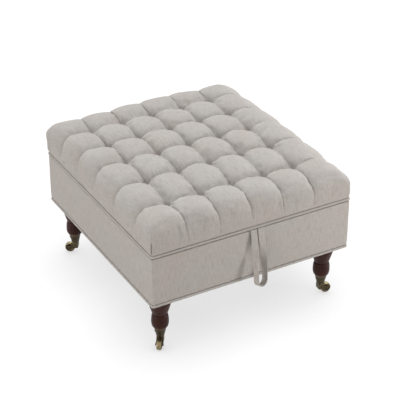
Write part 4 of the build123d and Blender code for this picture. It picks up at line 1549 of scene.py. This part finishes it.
    def dust_cloth(self) -> Piece:
        """Builds the cloth under the floor: a thin sheet, cut across inside each leg, that sags a little.

        A corner is cut where x + y passes the line inside the leg: half of the excess is taken from each.

        Returns:
            The piece.
        """
        low, high = (np.array(corner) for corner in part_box("dust_cover"))
        leg_low, leg_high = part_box("leg_back_right")
        centre = (leg_low + leg_high) / 2.0
        gap = (leg_high.x - leg_low.x) / 2.0 + self.dust_gap
        limit = centre.x + centre.y - gap * math.sqrt(2.0)
        x, y = np.meshgrid(np.linspace(low[0], high[0], 70), np.linspace(low[1], high[1], 74), indexing="ij")
        excess = corner_excess(x, y, limit)
        x = x - np.sign(x) * excess
        y = y - np.sign(y) * excess
        sag = self.dust_sag * np.cos(np.pi * x / (2.0 * high[0])) * np.cos(np.pi * y / (2.0 * high[1]))
        to_cut = (limit - np.abs(x) - np.abs(y)) / 1.4
        edge = np.minimum(np.minimum(high[0] - np.abs(x), high[1] - np.abs(y)), to_cut)
        depth, fade, wave, seed = self.dust_pucker
        gathers = np.abs(ripple(x, y, wave, seed)) * smooth_step(edge, 0.0, self.dust_start)
        under, cloth = self.dust_cloth_under
        top = high[2] - under - sag - depth * np.exp(-edge / fade) * gathers
        faces = [np.stack((x, y, height), -1) for height in (top, top - cloth)]
        piece = build_piece("dust_cloth", thin_sheet(faces), self.dress[Slot.DUST_CLOTH], math.radians(50.0))
        return seat(piece, "box", Slot.DUST_CLOTH, "dust_cover")


@dataclass
class PullLoop:
    """The cloth loop at the front: a folded, top-stitched ribbon that leaves the lid flat and hangs side-on.

    Attributes:
        dress: The finishes.
        width: Width of the ribbon.
        thickness: Thickness of the folded cloth.
        spacing: Distance between the two strands under the lid.
        loop_spacing: Distance between them at the loop.
        length: From the lid's lower edge to the bottom of the loop.
        twists: Where the left and the right strand start and end to turn, down from the lid.
        facing: How far the ribbon has turned at the loop, from flat on the box.
        lean: How far the loop leans out from the box.
        bend: Radius of the bend under the lid.
        tab_reach: Length of the flat ends under the lid's board.
    """

    dress: Dress
    width: float = 20.0 * MM
    thickness: float = 2.0 * MM
    spacing: float = 23.0 * MM
    loop_spacing: float = 36.0 * MM
    length: float = 174.0 * MM
    twists: tuple[Pair, Pair] = (
        mm(15.0, 125.0),
        mm(35.0, 158.0),
    )
    facing: float = math.radians(72.0)
    lean: float = math.radians(9.0)
    bend: float = 2.5 * MM
    tab_reach: float = 29.0 * MM

    def path(self) -> tuple[Grid, Grid]:
        """Lays the ribbon's middle line, from one flat end down, round the loop and up to the other.

        A strand is a straight tab, a bend of a right angle less the lean, and a run with a slight bow, which
        moves apart from the other strand as it falls. The loop is half a circle. The ribbon's width turns
        from X at both ends to its facing at the loop.

        Returns:
            The points, and the directions of the ribbon's width.
        """
        root = joint_place("strap_swing")
        down = np.array((0.0, -math.sin(self.lean), -math.cos(self.lean)))
        out = np.array((0.0, -math.cos(self.lean), math.sin(self.lean)))
        half = self.loop_spacing / 2.0
        drop = self.length - half - self.thickness / 2.0
        turn = np.linspace(0.0, np.pi / 2.0 - self.lean, 9)
        tab = np.linspace(self.tab_reach, self.bend, 12)
        start = np.stack((0.0 * tab, tab, 0.0 * tab), -1)
        curve = self.bend * np.stack((0.0 * turn, 1.0 - np.sin(turn), np.cos(turn) - 1.0), -1)
        first = run_length(np.concatenate((start, curve)))[-1]
        fall = np.linspace(0.0, drop, 60)[1:]
        bow = 2.5 * MM * np.sin(np.pi * fall / drop)
        run = curve[-1] + fall[:, None] * down + bow[:, None] * out
        strand = np.concatenate((start, curve[1:], run))
        along = run_length(strand) - first
        spread = smooth_step(along, 4.0 * MM, drop)
        sideways = np.array((1.0, 0.0, 0.0))
        swing = np.pi / 2.0 + (self.facing - np.pi / 2.0) * spread
        apart = np.sin(swing)[:, None] * sideways - np.cos(swing)[:, None] * out
        apart *= (self.spacing / 2.0 + (half - self.spacing / 2.0) * spread)[:, None]
        round_turn = np.linspace(np.pi, 0.0, 25)[1:-1, None]
        loop = strand[-1] + np.cos(round_turn) * apart[-1] + half * np.sin(round_turn) * down
        points = root + np.concatenate((strand - apart, loop, (strand + apart)[::-1]))
        left, right = (self.facing * smooth_step(along, *twist) for twist in self.twists)
        tilt = np.concatenate((left, np.full(len(loop), self.facing), right[::-1]))
        across = np.cos(tilt)[:, None] * sideways + np.sin(tilt)[:, None] * out
        return points, across

    def build(self) -> Piece:
        """Builds the ribbon: a flat section with round edges and a shallow fold line, carried along the path.

        Returns:
            The piece.
        """
        points, across = self.path()
        heading = np.gradient(points, axis=0)
        heading /= np.linalg.norm(heading, axis=1)[:, None]
        across = across - heading * (across * heading).sum(1)[:, None]
        across /= np.linalg.norm(across, axis=1)[:, None]
        face = np.cross(heading, across)
        angle = np.linspace(0.0, 2.0 * np.pi, 61)
        wide = self.width / 2.0 * np.sign(np.cos(angle)) * np.abs(np.cos(angle)) ** 0.8
        thick = self.thickness / 2.0 * np.sign(np.sin(angle)) * np.abs(np.sin(angle)) ** 0.25
        seam = 1.0 - 0.3 * np.exp(-(wide / (0.9 * MM)) ** 2)
        stitch = 1.0 - 0.2 * np.exp(-((np.abs(wide) - 7.6 * MM) / (0.6 * MM)) ** 2)
        thick = thick * seam * stitch
        section = across[:, None] * wide[None, :, None] + face[:, None] * thick[None, :, None]
        length = run_length(points)
        body = points[:, None] + section
        ends = [np.stack((body[i], np.broadcast_to(points[i], body[i].shape))) for i in (0, -1)]
        uv = np.stack(np.broadcast_arrays(wide, length[:, None]), -1)
        surfaces = [Surface(body, uv)] + [Surface(end, end[..., :2]) for end in ends]
        piece = build_piece("pull_loop", surfaces, self.dress[Slot.LINEN], math.radians(70.0))
        root = joint_place("strap_swing")
        start = root + np.array((0.0, self.bend, 0.0))
        end = root + np.array((0.0, -1.0 * MM, -2.0 * self.bend))
        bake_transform(piece, "lid", "strap", start=tuple(start), end=tuple(end))
        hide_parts("pull_strap", "strap_tabs")
        return piece


@dataclass
class TurnedLegs:
    """Four turned legs: a round block, a cove to the neck, a bulb, and a taper into the castor's cup.

    Attributes:
        dress: The finishes.
        block: Radius of the round block.
        block_height: Its height.
        ease: Radius of its lower edge.
        cove: A point that the cove passes, as radius and height.
        neck: The neck, as radius and height.
        bulb: The bulb's widest point, as radius and height.
        toe: Radius where the leg meets the cup.
        spigot: Radius of the end inside the cup.
    """

    dress: Dress
    block: float = 34.5 * MM
    block_height: float = 25.0 * MM
    ease: float = 1.0 * MM
    cove: Pair = mm(27.5, 133.0)
    neck: Pair = mm(21.0, 113.5)
    bulb: Pair = mm(25.5, 87.5)
    toe: float = 18.6 * MM
    spigot: float = 12.0 * MM

    def profile(self, low: float, cup_top: float, high: float) -> Grid:
        """Draws the leg's half section from its top centre to its bottom centre.

        The bulb is two quarters of an ellipse that meet where it is widest.

        Args:
            low: Height of the spigot's end.
            cup_top: Height of the cup's rim.
            high: Height of the leg's top.

        Returns:
            Radius and height of each point.
        """
        foot = high - self.block_height
        ease = self.ease
        edge = arc_through((self.block, foot + ease), (self.block - 0.3 * ease, foot + 0.3 * ease),
                           (self.block - ease, foot), 5)
        cove = arc_through((self.block - ease, foot), self.cove, self.neck, 18)
        rise = np.linspace(0.0, np.pi / 2.0, 15)[:, None]
        neck, bulb, toe = (np.array(spot) for spot in (self.neck, self.bulb, (self.toe, cup_top)))
        upper = neck + (bulb - neck) * np.hstack((np.sin(rise), 1.0 - np.cos(rise)))
        lower = toe + (bulb - toe) * np.hstack((np.cos(rise), 1.0 - np.sin(rise)))
        side = np.linspace((self.block, high), (self.block, foot + ease), 6)
        end = ((self.spigot + 2.5 * MM, cup_top - 0.2 * MM), (self.spigot, low), (0.0, low))
        return np.concatenate((((0.0, high),), side, edge[1:], cove[1:], upper[1:], lower[1:], end))

    def build(self) -> list[Piece]:
        """Builds the four legs, each round its castor's swivel axis.

        Returns:
            The pieces.
        """
        wood = self.dress[Slot.STAINED_WOOD]
        made = []
        for corner in CORNERS:
            low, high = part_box(f"leg_{corner}")
            foot = joint_place(f"swivel_{corner}") * PLAN
            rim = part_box(f"castor_cup_{corner}")[1].z
            turned = revolve(self.profile(low.z, rim, high.z), foot, UP, 64)
            piece = build_piece(f"turned_leg_{corner}", [turned], wood, math.radians(35.0))
            made.append(seat(piece, "box", Slot.STAINED_WOOD, f"leg_{corner}"))
        return made


@dataclass
class CupCastors:
    """Four brass cup castors: a tapered cup, a cast fork that trails from it, and a solid wheel.

    Attributes:
        dress: The finishes.
        cup: Radius and height of the cup's foot and of its rim.
        wheel_radius: Radius of the wheel.
        wheel_half: Half of its width.
        trail: From the swivel to the axle.
        fork_top: Height of the fork's top.
        cheek: Distance from the middle to the inside and to the outside of a cheek.
        cheek_end: Radius of a cheek's end round the axle.
    """

    dress: Dress
    cup: tuple[Pair, Pair] = (mm(11.6, 37.0), mm(19.0, 69.0))
    wheel_radius: float = 16.0 * MM
    wheel_half: float = 7.0 * MM
    trail: float = 17.5 * MM
    fork_top: float = 36.6 * MM
    cheek: Pair = mm(7.5, 10.5)
    cheek_end: float = 5.0 * MM

    def cup_profile(self) -> Grid:
        """Draws the cup's half section: a tapered wall with an eased foot and an eased rim.

        Returns:
            Radius and height of each point.
        """
        (foot_r, foot_z), (rim_r, rim_z) = self.cup
        slope = (rim_r - foot_r) / (rim_z - foot_z)
        foot = arc_through((foot_r - 1.2 * MM, foot_z), (foot_r - 0.3 * MM, foot_z + 0.3 * MM),
                           (foot_r + 0.2 * MM, foot_z + 1.2 * MM), 5)
        wall_z = np.linspace(foot_z + 1.2 * MM, rim_z - 1.0 * MM, 12)[1:]
        wall = np.stack((foot_r + 0.2 * MM + (wall_z - foot_z - 1.2 * MM) * slope, wall_z), -1)
        bead = arc_through((rim_r, rim_z - 0.9 * MM), (rim_r - 0.2 * MM, rim_z - 0.2 * MM),
                           (rim_r - 0.8 * MM, rim_z), 4)
        start = ((3.1 * MM, foot_z + 3.0 * MM), (3.1 * MM, foot_z))
        inside = ((rim_r - 1.6 * MM, rim_z - 0.4 * MM), (rim_r - 2.4 * MM, rim_z - 4.0 * MM), start[0])
        return np.concatenate((start, foot, wall, bead, inside))

    def wheel_profile(self) -> Grid:
        """Draws the wheel's half section: a crowned tread, eased rims, dished faces and hubs.

        Returns:
            Radius and distance across for each point.
        """
        r, w = self.wheel_radius, self.wheel_half
        tread = arc_through((r - 1.1 * MM, w - 0.6 * MM), (r, 0.0), (r - 1.1 * MM, 0.6 * MM - w), 15)
        face = np.array((
            (2.6 * MM, w + 0.2 * MM), (5.2 * MM, w + 0.2 * MM), (5.6 * MM, w - 0.4 * MM),
            (6.2 * MM, w - 1.8 * MM), (9.8 * MM, w - 2.0 * MM), (11.6 * MM, w - 0.7 * MM),
            (12.4 * MM, w), (13.8 * MM, w),
        ))
        back = face[::-1] * np.array((1.0, -1.0))
        return np.concatenate((face, tread, back, face[:1]))

    def fork_outlines(self) -> tuple[Grid, Grid]:
        """Draws the fork from its side: the cheek, and the yoke, which is hollowed round the wheel.

        Returns:
            The two closed outlines, as distance along the trail and height.
        """
        axle = np.array((self.trail, self.wheel_radius))
        top = self.fork_top
        end = self.cheek_end
        corners = [(self.trail + end, axle[1] - end), (self.trail + end, axle[1] + end), mm(7.0, 27.5),
                   (6.0 * MM, top), (-9.5 * MM, top), mm(-9.5, 19.0)]
        cheek = rounded_outline(corners, [0.9 * end, 0.8 * end, 5.0 * MM, 1.0 * MM, 2.0 * MM, 5.0 * MM])
        clear = self.wheel_radius + 1.2 * MM
        turn = np.radians(np.linspace(128.0, 186.0, 14))
        hollow = axle + clear * np.stack((np.cos(turn), np.sin(turn)), -1)
        heel = rounded_outline([(6.0 * MM, top), (-9.5 * MM, top), mm(-9.5, 17.0), (0.0, 14.6 * MM)],
                               [0.5 * MM, 2.0 * MM, 4.0 * MM, 0.5 * MM])[:-1]
        yoke = np.concatenate((heel, hollow[::-1], heel[:1]))
        return cheek, yoke

    def fork(self, foot: Grid, out: Grid) -> list[Surface]:
        """Builds the fork: two cheek plates and the yoke between them, with eased edges.

        Args:
            foot: The swivel axis at floor height.
            out: The way that the castor trails.

        Returns:
            The surfaces.
        """
        side = np.array((-out[1], out[0], 0.0))
        cheek, yoke = self.fork_outlines()
        inner, outer = self.cheek
        eased = [(inner, 0.99), (inner + 0.2 * MM, 1.0), (outer - 1.0 * MM, 1.0), (outer - 0.3 * MM, 0.975),
                 (outer, 0.93)]
        mirrored = [(-across, share) for across, share in eased]
        between = [(-inner, 1.0), (inner, 1.0)]
        surfaces = []
        for outline, middle, spans in (
            (cheek, mm(7.0, 23.0), eased),
            (cheek, mm(7.0, 23.0), mirrored),
            (yoke, mm(-4.0, 28.0), between),
        ):
            places, wear = plate(outline, middle, spans)
            points = foot + places[..., :1] * out + places[..., 1:2] * UP + places[..., 2:] * side
            surfaces.append(Surface(points, places[..., :2], wear))
        return surfaces

    def build(self) -> list[Piece]:
        """Builds the cups, forks and wheels at the four swivels.

        Returns:
            The pieces.
        """
        brass = self.dress[Slot.BRASS]
        sharp = math.radians(40.0)
        made = []
        for corner in CORNERS:
            foot = joint_place(f"swivel_{corner}") * PLAN
            axle = joint_place(f"roll_{corner}")
            out = (axle - foot) * PLAN
            out /= np.linalg.norm(out)
            side = np.array((-out[1], out[0], 0.0))
            turned = revolve(self.cup_profile(), foot, UP, 56)
            cup = build_piece(f"brass_cup_{corner}", [turned], brass, sharp)
            made.append(seat(cup, "box", Slot.BRASS, f"castor_cup_{corner}"))
            fork = build_piece(f"brass_fork_{corner}", self.fork(foot, out), brass, sharp)
            made.append(seat(fork, f"castor_{corner}", Slot.BRASS, f"castor_horn_{corner}"))
            rolled = revolve(self.wheel_profile(), axle, side, 56)
            from_axle = np.linalg.norm(rolled.points - axle, axis=-1)
            rolled.wear = 0.9 * smooth_step(from_axle, self.wheel_radius - 2.0 * MM, self.wheel_radius)
            wheel = build_piece(f"brass_wheel_{corner}", [rolled], brass, sharp)
            made.append(seat(wheel, f"wheel_{corner}", Slot.BRASS, f"castor_wheel_{corner}"))
        return made


class LampKind(Enum):
    """How a lamp shines: as a square soft box, or as strong everywhere, as from a large bounced wall."""

    SOFT_BOX = "AREA"
    WIDE = "SUN"


@dataclass(frozen=True)
class Lamp:
    """A lamp that is turned to the middle of the object.

    Attributes:
        name: Its name.
        kind: How it shines.
        place: Where it hangs, or the side that it comes from.
        energy: Its power in watts, or its strength in watts per square metre.
        width: Side of a soft box in metres, or how wide the light looks in degrees.
    """

    name: str
    kind: LampKind
    place: Triple
    energy: float
    width: float

    def hang(self, target: Triple) -> None:
        """Adds the lamp to the scene.

        Args:
            target: What it shines at.
        """
        data = bpy.data.lights.new(self.name, self.kind.value)
        data.energy = self.energy
        if self.kind is LampKind.SOFT_BOX:
            data.size = self.width
        else:
            data.angle = math.radians(self.width)
        lamp = bpy.data.objects.new(self.name, data)
        lamp.location = self.place
        lamp.rotation_euler = (Vector(self.place) - Vector(target)).to_track_quat("Z", "Y").to_euler()
        bpy.context.scene.collection.objects.link(lamp)


@dataclass
class Studio:
    """A pale floor, soft light and the photograph's camera.

    Attributes:
        azimuth: The camera's bearing, from the front towards the right, in degrees.
        elevation: Its height above the horizon, in degrees.
        distance: From the target to the camera.
        target: What it looks at.
        lens: Its focal length in millimetres.
        sensor: Width of its sensor in millimetres.
        ambient: Strength of the even light from all round.
        lamps: A low soft box at the front right, a low side light, a slanting top light and the ceiling.
        floor_colour: Colour of the floor.
        floor_glow_with_painted_shadow: White glow that the camera sees on the floor before its shading: weaker,
            as painted shadow, where the object covers it, and full where it lies open.
        floor_painted_shadow_reach: How near the object must be to cover a place on the floor with painted shadow.
        floor_shade: Colour of the shading that is added to that white.
        floor_size: Length of the floor's sides.
    """

    azimuth: float = -29.362
    elevation: float = 30.583
    distance: float = 4.14616
    target: Triple = (0.01792, 0.0, 0.25195)
    lens: float = 123.35
    sensor: float = 36.0
    ambient: float = 0.33
    lamps: tuple[Lamp, ...] = (
        Lamp("key", LampKind.SOFT_BOX, (1.9, -1.9, 0.5), 21.0, 0.4),
        Lamp("side", LampKind.WIDE, (-2.6, -0.3, 0.45), 1.28, 30.0),
        Lamp("top", LampKind.WIDE, (1.2, 1.0, 2.4), 1.8, 60.0),
        Lamp("ceiling", LampKind.WIDE, (0.2, 0.2, 2.6), 0.6, 120.0),
    )
    floor_colour: str = "#CFC8C0"
    floor_glow_with_painted_shadow: Pair = (0.49, 0.95)
    floor_painted_shadow_reach: float = 0.24
    floor_shade: str = "#606060"
    floor_size: float = 12.0

    def white_to_camera(self, tree: bpy.types.NodeTree) -> Socket:
        """Adds the test for rays that show the background: from the camera, a reflection or through glass.

        Args:
            tree: The node tree.

        Returns:
            An output that is 1 for such rays.
        """
        path = add_node(tree, "ShaderNodeLightPath")
        gloss = {0: path.outputs["Is Camera Ray"], 1: path.outputs["Is Glossy Ray"]}
        seen = add_node(tree, "ShaderNodeMath", gloss, operation="MAXIMUM")
        through = {0: seen.outputs[0], 1: path.outputs["Is Transmission Ray"]}
        return add_node(tree, "ShaderNodeMath", through, operation="MAXIMUM").outputs[0]

    def world(self) -> None:
        """Lights the object evenly from all round, and shows white behind it."""
        world = bpy.data.worlds.new("studio")
        bpy.context.scene.world = world
        world.use_nodes = True
        tree = world.node_tree
        level = add_node(tree, "ShaderNodeMapRange",
                         {"Value": self.white_to_camera(tree), "To Min": self.ambient, "To Max": 1.0})
        tree.links.new(level.outputs[0], tree.nodes["Background"].inputs["Strength"])
        tree.nodes["Background"].inputs["Color"].default_value = (1.0, 1.0, 1.0, 1.0)

    def floor(self) -> None:
        """Lays the floor, which the camera sees as white with the object's shadow on it.

        The white is a glow that is weaker where the object covers the floor, which the share of open directions
        tells: that dimming is painted shadow, and the real shading from the lamps is added to it.
        """
        recipe = Recipe("pale_floor")
        tree = recipe.tree
        look = {"Base Color": linear(self.floor_colour), "Roughness": 1.0, "Specular IOR Level": 0.0}
        material = recipe.finish(look)
        # Painted shadow: ambient occlusion dims the floor's white glow where the object covers it; the diffuse
        # part below adds the lamps' real shading.
        near = add_node(tree, "ShaderNodeAmbientOcclusion", {"Distance": self.floor_painted_shadow_reach})
        level = recipe.spread(near.outputs["AO"], 0.0, 1.0, *self.floor_glow_with_painted_shadow)
        glow = add_node(tree, "ShaderNodeEmission", {"Color": (1.0, 1.0, 1.0, 1.0), "Strength": level})
        shade = add_node(tree, "ShaderNodeBsdfDiffuse", {"Color": linear(self.floor_shade)})
        seen = add_node(tree, "ShaderNodeAddShader", {0: glow.outputs[0], 1: shade.outputs[0]})
        mixed = {0: self.white_to_camera(tree), 1: recipe.shader.outputs[0], 2: seen.outputs[0]}
        surface = add_node(tree, "ShaderNodeMixShader", mixed)
        feed(tree, tree.nodes["Material Output"], {"Surface": surface.outputs[0]})
        half = self.floor_size / 2.0
        x, y = np.meshgrid(np.linspace(-half, half, 3), np.linspace(-half, half, 3), indexing="ij")
        ground = np.stack((x, y, np.zeros_like(x)), -1)
        piece = build_piece("floor", [Surface(ground, ground[..., :2])], material, closed=False)

    def camera(self) -> None:
        """Sets the camera at the photograph's angle: target + distance * the way back to the viewer."""
        bearing, height = math.radians(self.azimuth), math.radians(self.elevation)
        level = math.cos(height)
        back = Vector((math.sin(bearing) * level, -math.cos(bearing) * level, math.sin(height)))
        data = bpy.data.cameras.new("camera")
        data.lens = self.lens
        data.sensor_width = self.sensor
        camera = bpy.data.objects.new("camera", data)
        camera.location = Vector(self.target) + back * self.distance
        camera.rotation_euler = back.to_track_quat("Z", "Y").to_euler()
        bpy.context.scene.collection.objects.link(camera)
        bpy.context.scene.camera = camera

    def build(self) -> None:
        """Sets up the floor, the light, the camera and the plain view transform."""
        self.world()
        self.floor()
        for lamp in self.lamps:
            lamp.hang(self.target)
        self.camera()
        bpy.context.scene.view_settings.view_transform = "Standard"


def dress_frame(dress: Dress) -> None:
    """Gives every frame node the finish of its slot.

    Args:
        dress: The finishes.
    """
    for part in frame["record"]["subparts"]:
        node = frame["nodes"][part["node"]]
        node.data.materials.clear()
        node.data.materials.append(dress[Slot(part["material_slot"])])


def main() -> None:
    """Builds the finishes, the sub-assemblies and the studio in order, and reports each piece."""
    logging.basicConfig(level=logging.INFO, format="%(name)s: %(message)s")
    dress = finishes()
    dress_frame(dress)
    lid = TuftedLid(dress)
    box = LinenBox(dress)
    made = [lid.cushion(), lid.buttons(), lid.twines(), lid.lining(), box.cover()]
    made += [box.piping("lid_piping", "lid"), box.piping("base_piping", "box")]
    made += [box.storage_lining(), box.dust_cloth(), PullLoop(dress).build()]
    made += TurnedLegs(dress).build()
    made += CupCastors(dress).build()
    Studio().build()


if __name__ == "__main__":
    main()
